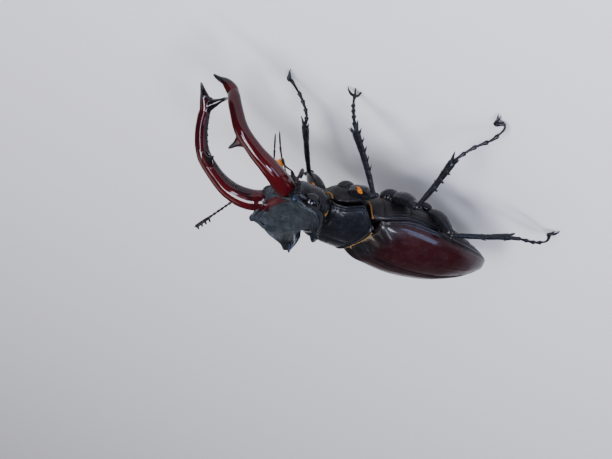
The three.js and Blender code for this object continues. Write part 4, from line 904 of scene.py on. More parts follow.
def leg(name, mat, hair):
    kind, side = name.split("_")
    J, z = {k: np.array(v, float) for k, v in LEGS[name].items()}, LEG_SIZE[kind]
    s = 1 if side == "left" else -1
    hip, knee, ankle, foot = J["hip"], J["knee"], J["ankle"], J["foot"]
    cc = hip + [-(s * .2 if kind == "hind" else 0), 0, .5]
    r = z["coxa"]
    # coxa: a rounded cone with a groove, turned toward the thigh
    V, F = ellipsoid(cc, [r[0] * 1.02, r[1] * 1.02, r[2] * 1.02], 50, 64)
    out = unit(knee - cc)
    d = (V - cc) @ out
    n = unit(V - cc)
    V = V - n * (0.14 * np.exp(-((d - r[0] * .55) / .16) ** 2))[:, None] + n * (0.05 * noise3(V, 1.7, 21))[:, None]
    to_object(f"{kind}_coxa_{side}_shell", V, F, mat, None, [f"{kind}_coxa_{side}"])
    # femur with trochanter
    dist = np.linalg.norm(knee - cc)
    reach = min(r[0], 2.4) + .22
    start = mix(cc, knee, (reach - 1.0) / dist)
    lift = mix(hip, knee, .55) + [0, 0, z["sag"]]
    fm = z["femur"]
    up = (0, 0, 1)
    parts = [limb([start, lift, knee], [[0, .95, .85], [.1, 1.05, .9], [.22, fm * .92, fm * .8], [.48, fm * 1.0, fm * .85], [.7, fm * .88, fm * .76], [.86, 1.1, .95], [.94, 1.0, .88], [1, .72, .66]], 70, 36)]
    tr = mix(cc, knee, (reach - .1) / dist)
    parts.append(ellipsoid(tr - [0, 0, .25], [1.15, 1.05, .95], 24, 32))
    # knee cheeks that hold the tibia
    dirn = unit(ankle - knee)
    ax = unit(np.cross(dirn, unit(knee - hip)))
    for e in (1, -1):
        parts.append(ellipsoid(knee + ax * e * .62 + dirn * .05, [.52, .52, .52], 20, 24))
    V, F, e = fuse(parts, VOX, 12, 4)
    V = V + vertex_normals(V, F) * (0.03 * noise3(V, 1.4, 22))[:, None]
    to_object(f"{kind}_femur_{side}_shell", V, F, mat, None, [f"{kind}_femur_{side}"])
    # tibia
    ln = np.linalg.norm(ankle - knee)
    hinge = knee + dirn * .2
    bow = knee - hip
    bow = unit(bow - dirn * (bow @ dirn))
    belly = mix(hinge, ankle, .5) + bow * .35
    t = z["tibia"]
    across = unit(np.cross(dirn, bow))
    flat = .78 if kind == "front" else .9
    tib = [limb([hinge, belly, ankle], [[0, .62, .55], [.06, .52, .5], [.3, .62 * t + .08, (.62 * t + .08) * flat + .05], [.6, .8 * t, .8 * t * flat], [.86, t, t * flat * .95], [.96, t * 1.08, t * flat], [1, t * .95, t * flat * .9]], 80, 30, up=across)]
    tib.append(ellipsoid(knee + dirn * .12, [.62, .62, .62], 20, 24))
    for i in range(z["spines"]):
        f = mix(.34 if kind == "front" else .45, .9 if kind == "front" else .8, i / (z["spines"] - 1))
        c = mix(hinge, ankle, f) + bow * .35 * (1 - (2 * f - 1) ** 2)
        l = (mix(1.2, 2.0, f) if kind == "front" else 1.35) + .2
        tib.append(limb([c + bow * .25, c + bow * (.45 + .62 * l) + dirn * .28, c + bow * (.45 + l) + dirn * .8], [[0, .55, .45], [.3, .33, .28], [.7, .17, .15], [1, .04, .04]], 22, 14, up=across))
        if kind == "front" and i % 2 == 0:
            c2 = mix(hinge, ankle, f - .055) + bow * .3
            tib.append(limb([c2 + bow * .3, c2 + bow * .95 + dirn * .3], [[0, .3], [.6, .15], [1, .04]], 12, 10, up=across))
    for f in ((.5, .68, .84) if kind != "front" else (.72,)):
        c = mix(hinge, ankle, f)
        tib.append(limb([c - bow * .3, c - bow * (t * .8 + .5) + dirn * .45], [[0, .3], [.6, .16], [1, .04]], 12, 10, up=across))
    for e in (1, -1):
        c = ankle - dirn * .5 + bow * e * .45
        k = 1.5 if kind == "front" else .9
        tib.append(limb([c, c + dirn * 1.1 + bow * e * k * .62 + across * .1 * e, c + dirn * 2.1 + bow * e * k + across * .2 * e], [[0, .46], [.35, .3], [.75, .15], [1, .04]], 24, 14, up=across))
        c = ankle - dirn * .35 + across * e * t * .55
        tib.append(limb([c, c + dirn * 1.25 + across * e * .25], [[0, .3], [.6, .16], [1, .04]], 12, 10, up=bow))
    V, F, e = fuse(tib, VOX, 8, 2)
    V = V + vertex_normals(V, F) * (0.03 * noise3(V, 1.9, 23) + 0.02 * noise3(V, 5.0, 24))[:, None]
    to_object(f"{kind}_tibia_{side}_shell", V, F, mat, None, [f"{kind}_tibia_{side}"])
    # tarsus: four short cups, a long last joint, two claws
    start = ankle + dirn * .0
    rd = unit(foot - (ankle + dirn * .1))
    upv = unit(np.array([0, 0, 1.0]) - rd * rd[2])
    wide = unit(np.cross(rd, upv))
    pad = foot - rd * 1.7 + upv * .25
    path = Path([start, *J["bends"], pad])
    q = z["tarsus"]
    joint = [0, .19, .36, .53, .69, 1]
    ta = []
    for i in range(5):
        a, b = joint[i] - (.0 if i == 0 else .012), joint[i + 1] + .006
        pts = path.at(np.linspace(max(a, 0), min(b, 1), 6))
        if i < 4:
            st = [[0, q * .5], [.2, q * .62], [.6, q * .85], [.85, q * 1.18], [.96, q * 1.15], [1, q * .85]]
        else:
            st = [[0, q * .5], [.1, q * .55], [.5, q * .62], [.85, q * .95], [1, q * .8]]
        ta.append(limb(pts, st, 30, 22, up=(.13, .31, .94)))
        if i < 4:      # bristles under each cup
            e0, tg = path.at(b), path.tangent(b)
            for w in (-1, 1):
                ta.append(limb([e0 - tg * .3 + wide * w * .15, e0 + tg * .35 + wide * w * .32 - upv * .38], [[0, .12], [.6, .07], [1, .02]], 10, 8, up=(.3, .2, .9)))
    for e in (1, -1):
        a, b = pad - rd * .35, foot + wide * e * 1.5
        m = mix(pad, foot, .42) + wide * e * 1.08 + upv * .42
        ta.append(limb([a, mix(a, m, .5) + wide * e * .18 + upv * .12, m, mix(m, b, .6) + upv * .1 + wide * e * .12, b], [[0, .3], [.2, .34], [.5, .26], [.8, .16], [1, .05]], 40, 16, up=(.13, .31, .94)))
    ta.append(limb([pad, mix(pad, foot, .35), foot - rd * .15], [[0, .28], [.5, .2], [1, .12]], 20, 14, up=(.13, .31, .94)))
    for w in (-1, 1):
        ta.append(limb([foot - rd * .3, foot + rd * .25 + wide * w * .3], [[0, .06], [1, .02]], 8, 8, up=(.13, .31, .94)))
    V, F = merged(ta)
    ob = to_object(f"{kind}_tarsus_{side}_shell", V, F, mat, None, [f"{kind}_tarsus_{side}"])
    ground_clamp(ob)


# ------------------------------------------------------------------ feelers and mouth
ANT = {
    "right": dict(base=[-9.35, -20.4, -.5], elbow=[-13.15, -23.02, .07], tip=[-9.6, -20.2, -4.2]),
    "left": dict(base=[9.4, -20.2, -.8], elbow=[14.84, -23.24, -2.34], tip=[19.5, -28.8, 4.2]),
}


def antenna(side, mat, matte):
    A = {k: np.array(v, float) for k, v in ANT[side].items()}
    base, elbow, tip = A["base"], A["elbow"], A["tip"]
    inward = unit(np.array([0, -17, 0]) - base)
    bend = mix(base, elbow, .5) + [0, 0, .25]
    V, F = merged([limb([base + inward * .5, base, bend, elbow], [[0, .3], [.15, .34], [.3, .24], [.7, .28], [.93, .42], [1, .36]], 60, 20, up=(.1, .3, .95)),
                   ellipsoid(base + inward * .25, [.42, .42, .42], 20, 24)])
    to_object(f"antenna_scape_{side}_shell", V, F, mat, None, [f"antenna_scape_{side}"])
    d = unit(tip - elbow)
    L = np.linalg.norm(tip - elbow)
    w = base - elbow
    w = unit(w - d * (w @ d))
    parts = []
    n = 6
    a0, a1 = .02, .62
    for i in range(n):      # six short beads of the whip
        f0, f1 = mix(a0, a1, i / n), mix(a0, a1, (i + 1) / n) + .012
        parts.append(limb([elbow + d * L * f0, elbow + d * L * (f0 + f1) / 2, elbow + d * L * f1], [[0, .17], [.3, .22], [.75, .3], [1, .2]], 18, 18, up=(.1, .3, .95)))
    parts.append(limb([elbow + d * L * .6, elbow + d * L * .8, tip], [[0, .22], [.3, .36], [.9, .38], [1, .25]], 30, 20, up=(.1, .3, .95)))
    V, F = merged(parts)
    ob1 = to_object(f"antenna_whip_{side}", V, F, mat, None)
    parts = []
    for i in range(4):      # four leaf-like plates
        f = mix(.64, .94, i / 3)
        c = elbow + d * L * f
        ln = 1.15 - .12 * i
        parts.append(limb([c, c + w * .8 + d * .2, c + w * ln + d * .35], [[0, .2, .3], [.3, .2, .42], [.7, .19, .46], [.92, .15, .38], [1, .08, .2]], 34, 24, up=np.cross(d, w)))
    V, F = merged(parts)
    to_object(f"antenna_plates_{side}", V, F, matte, None, [f"antenna_club_{side}"])


def locks(name, roots, dirs, lengths, radius, mat, uv, replaces=(), droop=(0, 0, 0), rows=6, sides=3, wav=0.06, seed=1, node_like=False):
    """Many thin tapering hair locks in one mesh, with a small map patch each at its root's place."""
    r = np.random.default_rng(seed)
    n = len(roots)
    roots, dirs = np.asarray(roots, float), unit(dirs)
    lengths = np.broadcast_to(np.asarray(lengths, float), (n,))
    a = unit(np.cross(dirs, r.normal(size=(n, 3))))
    b = np.cross(dirs, a)
    ts = np.linspace(0, 1, rows)
    wob = r.normal(size=(n, 2)) * wav
    shade = r.uniform(0, 1, n)
    V, F, along, sh, UV = [], [], [], [], []
    ring = 2 * np.pi * np.arange(sides) / sides
    idx = 0
    C = []
    for t in ts:
        c = roots + dirs * (lengths * t)[:, None] + np.asarray(droop, float) * (lengths * t * t)[:, None]
        c = c + a * (wob[:, 0] * lengths * t * t)[:, None] + b * (wob[:, 1] * lengths * t * t)[:, None]
        C.append(c)
    C = np.array(C)                                   # rows, n, 3
    rad = radius * np.array([1.0 - 0.25 * t - 0.62 * t ** 3 for t in ts])
    P = C[:, :, None, :] + rad[:, None, None, None] * (np.cos(ring)[None, None, :, None] * a[None, :, None, :] + np.sin(ring)[None, None, :, None] * b[None, :, None, :])
    P = np.transpose(P, (1, 0, 2, 3)).reshape(n, rows * sides, 3)
    tip = C[-1] + dirs * (lengths * 0.06)[:, None]
    back = C[0] - dirs * radius
    per = rows * sides + 2
    allv = np.concatenate([P, tip[:, None], back[:, None]], 1).reshape(-1, 3)
    base = []
    for i in range(rows - 1):
        for k in range(sides):
            k2 = (k + 1) % sides
            base.append((i * sides + k, i * sides + k2, (i + 1) * sides + k2, (i + 1) * sides + k))
    T, B = rows * sides, rows * sides + 1
    tri = [((rows - 1) * sides + k, (rows - 1) * sides + (k + 1) % sides, T) for k in range(sides)] + [((k + 1) % sides, k, B) for k in range(sides)]
    faces = []
    for j in range(n):
        o = j * per
        faces += [tuple(i + o for i in q) for q in base] + [tuple(i + o for i in q) for q in tri]
    al = np.concatenate([np.repeat(ts, sides), [1, 0]])
    at = np.tile(al, n)
    shd = np.repeat(shade, per)
    ob = to_object(name, allv, faces, mat, {"along": at, "shade": shd}, replaces)
    me = ob.data
    lay = me.uv_layers.new(name="OFBake")
    vi = np.zeros(len(me.loops), np.int32)
    me.loops.foreach_get("vertex_index", vi)
    local = vi % per
    which = vi // per
    pu = np.concatenate([np.tile(np.arange(sides) / (sides - 1), rows), [0.5, 0.5]])
    pv = np.concatenate([np.repeat(ts, sides), [1.0, 0.0]])
    uv = np.asarray(uv, float)[which] + 0.003 * (np.stack([pu[local], pv[local]], 1) - 0.5)
    lay.data.foreach_set("uv", np.clip(uv, 0.0, 1.0).astype(np.float32).ravel())
    return ob


def fit01(a, lo, hi):
    return 0.03 + 0.94 * (np.asarray(a, float) - lo) / (hi - lo)


# ------------------------------------------------------------------ build
M_EL, M_MD, M_HD, M_EYE = elytra_material(), mandible_material(), granular_material(), eye_material()
M_PR = satin_black("pronotum_chitin", (0.0075, 0.0082, 0.0105), (0.22, 0.34), 4.6, 0.022, 0.3, 0.18)
M_UN = satin_black("under_chitin", (0.0085, 0.0085, 0.0098), (0.3, 0.45), 3.2, 0.035, 0.2, 0.25, 0.3)
M_LG = satin_black("leg_chitin", (0.0075, 0.008, 0.0105), (0.2, 0.32), 3.6, 0.022, 0.45, 0.14)
M_FE = satin_black("feeler_chitin", (0.012, 0.009, 0.009), (0.28, 0.4), 6.0, 0.012, 0.3, 0.2, 0.5)
M_PL = satin_black("feeler_plate_velvet", (0.02, 0.019, 0.02), (0.55, 0.7), 9.0, 0.01, 0.0, 0.4, 0.3)
M_NK = satin_black("neck_chitin", (0.007, 0.0075, 0.009), (0.16, 0.26), 2.6, 0.01, 0.5, 0.12)
M_GOLD = hair_material("gold_hair", (0.16, 0.07, 0.010), (0.52, 0.27, 0.04))
M_BRUSH = hair_material("mouth_hair", (0.36, 0.085, 0.003), (0.74, 0.26, 0.010))
M_DOWN = hair_material("under_down", (0.07, 0.048, 0.026), (0.24, 0.19, 0.12), 0.5)

for side in ("left", "right"):
    elytron(side, M_EL)
    mandible(side, M_MD)
    antenna(side, M_FE, M_PL)
pronotum(M_PR)
head(M_HD)
for name in LEGS:
    leg(name, M_LG, M_GOLD)

for side in ("left", "right"):
    s = 1 if side == "left" else -1
    c = from_head(EYE * [s, 1, 1])
    V, F = ellipsoid((0, 0, 0), (1.6 * .96, 1.6 * 1.1, 1.6 * 1.02), 90, 120)
    V = from_head(V + EYE * [s, 1, 1])
    to_object("eye_ball_" + side, V, F, M_EYE, None, ["eye_" + side])

# neck: smooth glossy ball behind the head
V, F = limb([from_head([0, -1.3, .6]), from_head([0, .4, .5]), [0, -9.9, .7]], [[0, 5.3, 2.75], [.5, 5.55, 3.02], [1, 5.3, 2.75]], 60, 90)
to_object("neck_shell", V, F, M_NK, None, ["neck"])

# scutellum
T = np.linspace(0, 1, 40)
R = []
for t in T:
    y = -0.2 + 3.1 * t
    w = 1.9 * (1 - smooth(0.25, 1.0, t)) ** 0.75 + 0.02
    a = 2 * np.pi * np.arange(40) / 40
    crown = float(pchip(ECR, np.array([max(y, 0) / 31.0]))[0]) + .12
    R.append(np.stack([w * np.cos(a), np.full(40, y + .1), crown - .3 + .36 * np.sin(a) * (0.5 + 0.5 * math.sin(math.pi * min(1, 4 * t + .1) / 2))], -1))
R = np.array(R)
R = np.concatenate([np.repeat(R[0].mean(0)[None, None], 40, 1), R, np.repeat(R[-1].mean(0)[None, None], 40, 1)])
V, F = rows_mesh(R)
to_object("scutellum_shell", V, F, M_PR, None, ["scutellum"])

# under side
GAP = 0.22


def roof_under(y):
    return float(pchip(EMG, np.array([y / ELYTRA_LENGTH]))[0]) - .25 - GAP - .03 + .12


def plate(y, w, bottom):
    r = roof_under(y)
    return [y, w, r, bottom, r - .35]


def prosternum_wave(ring, ctr, y):
    x, z = ring[:, 0], ring[:, 2]
    d = ring - ctr
    n = unit(d * [1, 0, 1])
    low = smooth(-1.0, -4.0, z)
    k = 0.25 * np.exp(-(x / .9) ** 2) * low * smooth(-9.5, -6.5, y)              # keel between the front legs
    k -= 0.12 * np.exp(-((np.abs(x) - 3.2) / .5) ** 2) * low
    k += 0.1 * np.exp(-((z + 2.6) / .22) ** 2) * (np.abs(x) > 5)
    return ring + n * k[:, None]


def thorax_wave(ring, ctr, y):
    x, z = ring[:, 0], ring[:, 2]
    d = ring - ctr
    n = unit(d * [1, 0, 1])
    flank = np.abs(x) > 6.0
    r = roof_under(y)
    k = np.zeros(len(ring))
    for q, h in ((0.75, 0.16), (1.35, 0.13), (2.0, 0.1)):                           # long ridges under the wing-case edge
        k += h * np.exp(-((z - (r - q)) / 0.16) ** 2) * flank * smooth(0.0, 2.0, y)
    k -= 0.18 * np.exp(-((z - (r - 1.05)) / 0.16) ** 2) * flank * smooth(0.0, 2.0, y)
    for yy, h, ww in ((0.9, 0.3, 0.22), (6.4, 0.26, 0.2), (12.2, 0.22, 0.2)):       # cross seams between plates
        k -= h * np.exp(-((y + 0.10 * np.abs(x) - yy - 0.6) / ww) ** 2) * (z < r - 1.2)
    k -= 0.16 * np.exp(-(x / 0.3) ** 2) * (z < -4) * smooth(6.0, 7.5, y)
    return ring + n * k[:, None]


def belly_wave(ring, ctr, y):
    x, z = ring[:, 0], ring[:, 2]
    n = unit((ring - ctr) * [1, 0, 1])
    k = np.zeros(len(ring))
    for yy in (16.9, 19.8, 22.6, 25.3, 27.8):
        t = y - 0.05 * np.abs(x) - yy
        k += 0.16 * np.exp(-((t + 0.32) / 0.3) ** 2) - 0.24 * np.exp(-((t - 0.02) / 0.13) ** 2)
    low = smooth(-0.9, -1.6, z - roof_under(min(y, 30.9)))
    return ring + n * (k * low)[:, None]


V, F = under_body([[-10.7, 6.2, -1.35, -4.2, -1.7], [-9.2, 7.5, -1.15, -6.1, -1.5], [-7, 8.4, -1.5, -7.0, -1.9], [-5.2, 8.6, -2.05, -6.8, -2.4], [-2.6, 6.8, -.5, -5.2, -.9]], 160, rows=80, wave=prosternum_wave)
V = V + unit(V - V.mean(0)) * (0.05 * noise3(V, 1.4, 31))[:, None]
to_object("prosternum_shell", V, F, M_UN, None, ["prosternum"])
# waist: the narrow middle ring that joins the fore body to the hind body
V, F = under_body([[-3.9, 5.9, -.8, -4.2, -1.1], [-2.45, 6.4, -.1, -4.45, -.6], [-1.0, 6.4, .2, -4.3, -.5]], 120, rows=24)
to_object("waist_under_shell", V, F, M_UN, None)
V, F = ellipsoid((0, -2.2, .5), (6.3, 2.3, 2.1), 50, 90)
to_object("waist_upper_shell", V, F, M_UN, None)
V, F = under_body([[-2.3, 7.4, .4, -4.6, -.4], [-.5, 8.7, .35, -6.0, -.6], plate(1.8, 9.6, -6.8), plate(7, 10.4, -7.0), plate(13.9, 10.2, -6.3)], 220, rows=150, wave=thorax_wave)
V = V + unit(V - V.mean(0)) * (0.05 * noise3(V, 1.1, 32))[:, None]
to_object("thorax_under_shell", V, F, M_UN, None, ["thorax_under"])
V, F = under_body([plate(13.7, 10.15, -6.25), plate(17, 9.7, -5.3), plate(21, 8.4, -4.1), plate(25, 6.3, -3.1), plate(28.4, 4.0, -2.3), [30.1, 1.9, -1.35, -1.75, -1.5]], 180, rows=170, wave=belly_wave)
to_object("abdomen_shell", V, F, M_UN, None, ["abdomen"])

# mouth: chin plate, two hair brushes, palps
root = from_head([0, -8.0, -1.9])
V, F = ellipsoid(root, (4.1, 1.9, 1.5), 50, 70, rot((1, 0, 0), 20))
V = V + unit(V - root) * (0.06 * noise3(V, 2.0, 41))[:, None]
to_object("mentum_shell", V, F, M_FE, None)
roots, dirs, lens = [], [], []
for e in (1, -1):
    path = Path([from_head([e * .7, -8.6, -1.8]), [e * .85, -20.6, -6.2], [e * .6, -21.1, -9.0]])
    for k in range(520):
        f = RNG.uniform(0.0, 0.8)
        c, t = path.at(f), path.tangent(f)
        a = RNG.uniform(0, 2 * np.pi)
        u = unit(np.cross(t, (.3, .9, .1)))
        v = np.cross(t, u)
        o = u * math.cos(a) + v * math.sin(a)
        rr = 0.5 * RNG.uniform(0.2, 1) ** .5
        roots.append(c + o * rr * .8)
        dirs.append(t + o * 0.05)
        lens.append(RNG.uniform(1.0, 1.7) * (1 - f * .35))
roots = np.array(roots)
uv = np.stack([fit01(roots[:, 0], roots[:, 0].min(), roots[:, 0].max()), fit01(roots[:, 2], roots[:, 2].min(), roots[:, 2].max())], 1)
locks("mouth_hair_brush", roots, np.array(dirs), np.array(lens), 0.085, M_BRUSH, uv, ["mouthparts"], rows=5, wav=.05, seed=3)
for side in ("left", "right"):
    s = 1 if side == "left" else -1
    path = Path([from_head([s * 2.9, -9.4, -3.4]), [s * 2.3, -20.9, -6.9], [s * 1.5, -21.7, -9.5], [s * .9, -22.6, -14.3]])
    parts = [limb([from_head([s * 1.9, -7.7, -1.9]), from_head([s * 2.5, -8.6, -2.8]), path.at(0.02)], [[0, .7], [.5, .5], [1, .26]], 16, 18, up=(1, 0, 0))]
    for a, b in ((0, .335), (.325, .655), (.645, 1)):
        parts.append(limb(path.at(np.linspace(a, b, 8)), [[0, .15], [.2, .17], [.75, .22], [.95, .25], [1, .17]] if b < 1 else [[0, .15], [.3, .2], [.7, .17], [.9, .11], [1, .05]], 40, 18, up=(1, 0, 0)))
    # the shorter lip palp beside it
    p2 = Path([from_head([0, -8.2, -1.6]) + [s * 1.2, -.8, -.8], [s * 1.7, -20.4, -6.6], [s * 1.4, -21.0, -8.6]])
    for a, b in ((0, .5), (.49, 1)):
        parts.append(limb(p2.at(np.linspace(a, b, 6)), [[0, .14], [.7, .22], [1, .14]], 24, 14, up=(1, 0, 0)))
    V, F = merged(parts)
    to_object(f"palp_{side}_shell", V, F, M_FE, None, [f"palp_{side}"])


# ------------------------------------------------------------------ fringes and down
def margin_fringe(name, u, e_lo, e_hi, count, way, length, radius, lift, seed, mat=None, spread=0.25):
    r = np.random.default_rng(seed)
    e = r.uniform(e_lo, e_hi, count)
    uu = np.full(count, u)
    P = pronotum_point(uu, e)
    d = pronotum_point(uu, np.clip(e + 0.01, -1, 1)) - pronotum_point(uu, np.clip(e - 0.01, -1, 1))
    n = unit(np.stack([-d[:, 2], np.zeros(count), d[:, 0]], -1))
    n *= np.sign(np.einsum("ij,ij->i", n, P - [0, -6, 0]))[:, None]
    roots = P + n * (lift + r.uniform(-.1, .1, count))[:, None] - np.array([0, way, 0]) * r.uniform(0.0, .15, count)[:, None]
    dirs = np.array([0, way, 0.0]) - n * r.uniform(.1, .5, count)[:, None] + r.normal(size=(count, 3)) * spread * .5
    uv = np.stack([fit01(e, -1, 1), fit01(np.full(count, u) + r.uniform(-.02, .02, count), -.05, 1.05)], 1)
    return locks(name, roots, dirs, length * r.uniform(.7, 1.15, count), radius, mat or M_GOLD, uv, wav=.1, seed=seed + 1, rows=5)


margin_fringe("fringe_front", 0.0, -1, 1, 2600, -1, 0.5, 0.026, 0.06, 51)
margin_fringe("fringe_back", 1.0, -.9, .9, 2300, 1, 0.42, 0.024, -0.1, 52, spread=.14)

# thin hair line where the side of the fore body meets the middle body
for side in ("left", "right"):
    r_ = np.random.default_rng(57)
    path = Path([mir(q, side) for q in ([6.4, -2.4, -3.6], [7.2, -2.25, -2.6], [8.0, -2.1, -.6], [8.5, -1.95, .6])])
    f_ = r_.uniform(0, 1, 900)
    P = path.at(f_)
    o = unit(P * [1, 0, .15])
    locks("fringe_flank_" + side, P - o * .08 + r_.normal(size=(900, 3)) * .02, o * .8 + [0, .6, 0] + r_.normal(size=(900, 3)) * .08, .24 * r_.uniform(.7, 1.1, 900), .018, M_GOLD,
          np.stack([fit01(f_, 0, 1), fit01(r_.uniform(0, .05, 900), 0, 1)], 1), rows=5, wav=.08, seed=58)

# front margin of the under side
r_ = np.random.default_rng(53)
a = r_.uniform(0, np.pi, 900)
P = np.stack([-6.15 * np.cos(a), np.full(900, -10.55), -1.7 - 2.5 * np.sin(a)], -1)
o = unit(P * [1, 0, 1] + [0, 0, 1.6])
uv = np.stack([fit01(a, 0, np.pi), fit01(r_.uniform(0, .05, 900), 0, 1)], 1)
locks("fringe_under_front", P + o * .12 * r_.uniform(-1, 1, 900)[:, None], np.array([0, -1, 0]) - o * .3 + r_.normal(size=(900, 3)) * .12, .3 * r_.uniform(.7, 1.15, 900), .022, M_GOLD, uv, rows=5, wav=.1, seed=54)

# soft grey-gold down on and round the scutellum and at the neck of the wing cases
n_ = 1500
x = r_.uniform(-4.6, 4.6, n_)
y = r_.uniform(-0.25, 1.0, n_) + .9 * np.exp(-(x / 1.7) ** 2) * r_.uniform(0, 1, n_)
t_ = np.clip(y, 0, None) / ELYTRA_LENGTH
s_ = np.clip(np.abs(x) / 10.5, 0, 1)
z = np.array([float(elytra_point(np.array([a]), np.array([b]))[0, 2]) for a, b in zip(t_, s_ ** 1.0 * .66)]) - .08
uv = np.stack([fit01(x, -4.8, 4.8), fit01(y, -.3, 2.2)], 1)
locks("down_scutellum", np.stack([x, y, z], -1), np.stack([x * .05, np.full(n_, 1.0), np.full(n_, .28)], -1) + r_.normal(size=(n_, 3)) * .14, .75 * r_.uniform(.6, 1.15, n_), .026, M_DOWN, uv, rows=5, wav=.12, seed=55)

# orange patch on the front of each front thigh
for side in ("left", "right"):
    J = LEGS["front_" + side]
    hip, knee, ankle = [np.array(J[k]) for k in ("hip", "knee", "ankle")]
    cc = hip + [0, 0, .5]
    start = mix(cc, knee, 2.52 / np.linalg.norm(knee - cc))
    path = Path([start, mix(hip, knee, .55), knee])
    q = .57 if side == "right" else .3
    c = path.at(q)
    t = path.tangent(q)
    face = np.array([0, -1, -0.1]) - t * (np.array([0, -1, -.1]) @ t)
    face = unit(face)
    b = np.cross(t, face)
    m = 1500
    rr, aa = np.sqrt(r_.uniform(0, 1, m)), r_.uniform(0, 2 * np.pi, m)
    du, dv = 1.5 * rr * np.cos(aa), .42 * rr * np.sin(aa)
    dv = dv + du * (.25 if side == "right" else -.25)
    ang = dv / 1.4
    P = c + t * du[:, None] + face * (1.62 * np.cos(ang))[:, None] + b * (1.62 * np.sin(ang))[:, None]
    dirs = t * 1.0 + face * .2 + r_.normal(size=(m, 3)) * .07
    uv = np.stack([fit01(du, -1.6, 1.6), fit01(dv, -1.6, 1.6)], 1)
    locks("thigh_patch_" + side, P - face * .02, dirs, .42 * r_.uniform(.7, 1.1, m), .034, M_BRUSH, uv, rows=4, wav=.08, seed=61 + (side == "left"))

# short down that lies back along the under side
def belly_down(name, y0, y1, wide, level, bottom, count, length, seed, rnd=2.2):
    r = np.random.default_rng(seed)
    y = r.uniform(y0, y1, count)
    a = np.arccos(r.uniform(-.72, .72, count))
    c, s = np.cos(a), np.sin(a)
    w, sd, bt = pchip(wide, y), pchip(level, y), pchip(bottom, y)
    x = -w * np.sign(c) * np.abs(c) ** (2 / rnd)
    z = sd - (sd - bt) * s ** (2 / rnd)
    n = unit(np.stack([x / w ** 2, np.zeros(count), (z - sd) / (sd - bt) ** 2], -1))
    P = np.stack([x, y, z], -1)
    uv = np.stack([fit01(a, 0, np.pi), fit01(y, y0, y1)], 1)
    locks(name, P - n * .05, np.array([0, 1.0, 0]) + n * .25 + r.normal(size=(count, 3)) * .13, length * r.uniform(.6, 1.15, count), .019, M_DOWN, uv, rows=4, wav=.1, seed=seed + 1)


th = [[-2.3, 7.4, .4, -4.6, -.4], [-.5, 8.7, .35, -6.0, -.6], plate(1.8, 9.6, -6.8), plate(7, 10.4, -7.0), plate(13.9, 10.2, -6.3)]
col = lambda T, k: [[q[0], q[k]] for q in T]
belly_down("down_thorax", -1.6, 13.6, col(th, 1), col(th, 4), col(th, 3), 4200, .55, 71)
pr = [[-10.7, 6.2, -1.35, -4.2, -1.7], [-9.2, 7.5, -1.15, -6.1, -1.5], [-7, 8.4, -1.5, -7.0, -1.9], [-5.2, 8.6, -2.05, -6.8, -2.4], [-2.6, 6.8, -.5, -5.2, -.9]]
belly_down("down_front", -10.2, -3.0, col(pr, 1), col(pr, 4), col(pr, 3), 1200, .4, 73)
ab = [plate(13.7, 10.15, -6.25), plate(17, 9.7, -5.3), plate(21, 8.4, -4.1), plate(25, 6.3, -3.1), plate(28.4, 4.0, -2.3), [30.1, 1.9, -1.35, -1.75, -1.5]]
belly_down("down_belly", 14.2, 29.6, col(ab, 1), col(ab, 4), col(ab, 3), 1900, .35, 75)

# ------------------------------------------------------------------ floor, camera, lights
me = bpy.data.meshes.new("floor")
me.from_pydata([(-4, -4, 0), (4, -4, 0), (4, 4, 0), (-4, 4, 0)], [], [(0, 1, 2, 3)])
floor = bpy.data.objects.new("floor", me)
bpy.context.scene.collection.objects.link(floor)
fm = Mat("floor_paper")
me.materials.append(fm.done((0.56, 0.555, 0.545), 0.9))

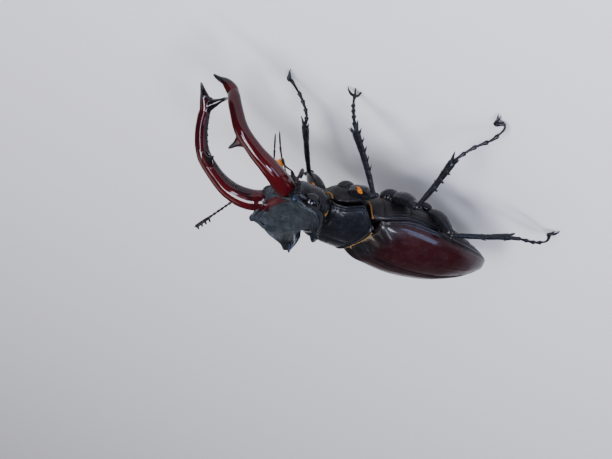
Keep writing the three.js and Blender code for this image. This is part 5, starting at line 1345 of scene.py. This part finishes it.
CAM_R = np.array([[-0.48988002712564627, 0.8591922885445353, -0.14766912449452724],
                  [0.2104673999788294, 0.28093362439873315, 0.9363651917005154],
                  [0.8460029743266435, 0.42762706882024626, -0.318455738592786]])
CAM_C = np.array([-303.7880403172891, -166.04953315416938, 118.5956636352096])
R = turn(CAM_R)
cam_data = bpy.data.cameras.new("camera")
cam_data.sensor_fit = "HORIZONTAL"
cam_data.sensor_width = 36.0
cam_data.lens = 18 / math.tan(math.radians(10))
cam_data.clip_start, cam_data.clip_end = 0.01, 50
cam = bpy.data.objects.new("camera", cam_data)
bpy.context.scene.collection.objects.link(cam)
from mathutils import Matrix, Vector
C = place(CAM_C)[0]
right, up, back = R[0], -R[1], -R[2]
cam.matrix_world = Matrix(((right[0], up[0], back[0], C[0]), (right[1], up[1], back[1], C[1]), (right[2], up[2], back[2], C[2]), (0, 0, 0, 1)))
bpy.context.scene.camera = cam


def soft_light(name, at, look, size, power, color, size_y=None):
    L = bpy.data.lights.new(name, "AREA")
    L.energy = power
    L.color = color
    L.size = size
    if size_y:
        L.shape = "RECTANGLE"
        L.size_y = size_y
    ob = bpy.data.objects.new(name, L)
    bpy.context.scene.collection.objects.link(ob)
    ob.location = at
    ob.rotation_euler = (Vector(look) - Vector(at)).to_track_quat("-Z", "Y").to_euler()
    return ob


soft_light("overhead", (-0.25, -0.27, 0.50), (0, 0, 0.02), 0.18, 5.2, (0.92, 0.93, 1.0), 0.26)
soft_light("window", (-0.31, -0.25, 0.21), (0, -0.02, 0.02), 0.07, 0.9, (0.74, 0.72, 1.0), 0.16)
soft_light("sky_side", (-0.37, 0.06, 0.34), (0, 0, 0.015), 0.15, 2.3, (0.78, 0.80, 1.0), 0.08)
soft_light("sky_band", (-0.24, 0.0, 0.46), (0, -0.02, 0.02), 0.42, 1.25, (0.80, 0.80, 1.0), 0.045)
soft_light("horizon", (-0.50, 0.26, 0.16), (0, 0, 0.015), 0.30, 1.4, (0.40, 0.60, 1.0), 0.10)
soft_light("fill", (0.35, -0.25, 0.5), (0, 0, 0.0), 0.5, 1.5, (1.0, 0.97, 0.93))
world = bpy.data.worlds.new("studio")
bpy.context.scene.world = world
world.use_nodes = True
world.node_tree.nodes["Background"].inputs["Color"].default_value = (0.78, 0.82, 0.9, 1)
world.node_tree.nodes["Background"].inputs["Strength"].default_value = 0.12
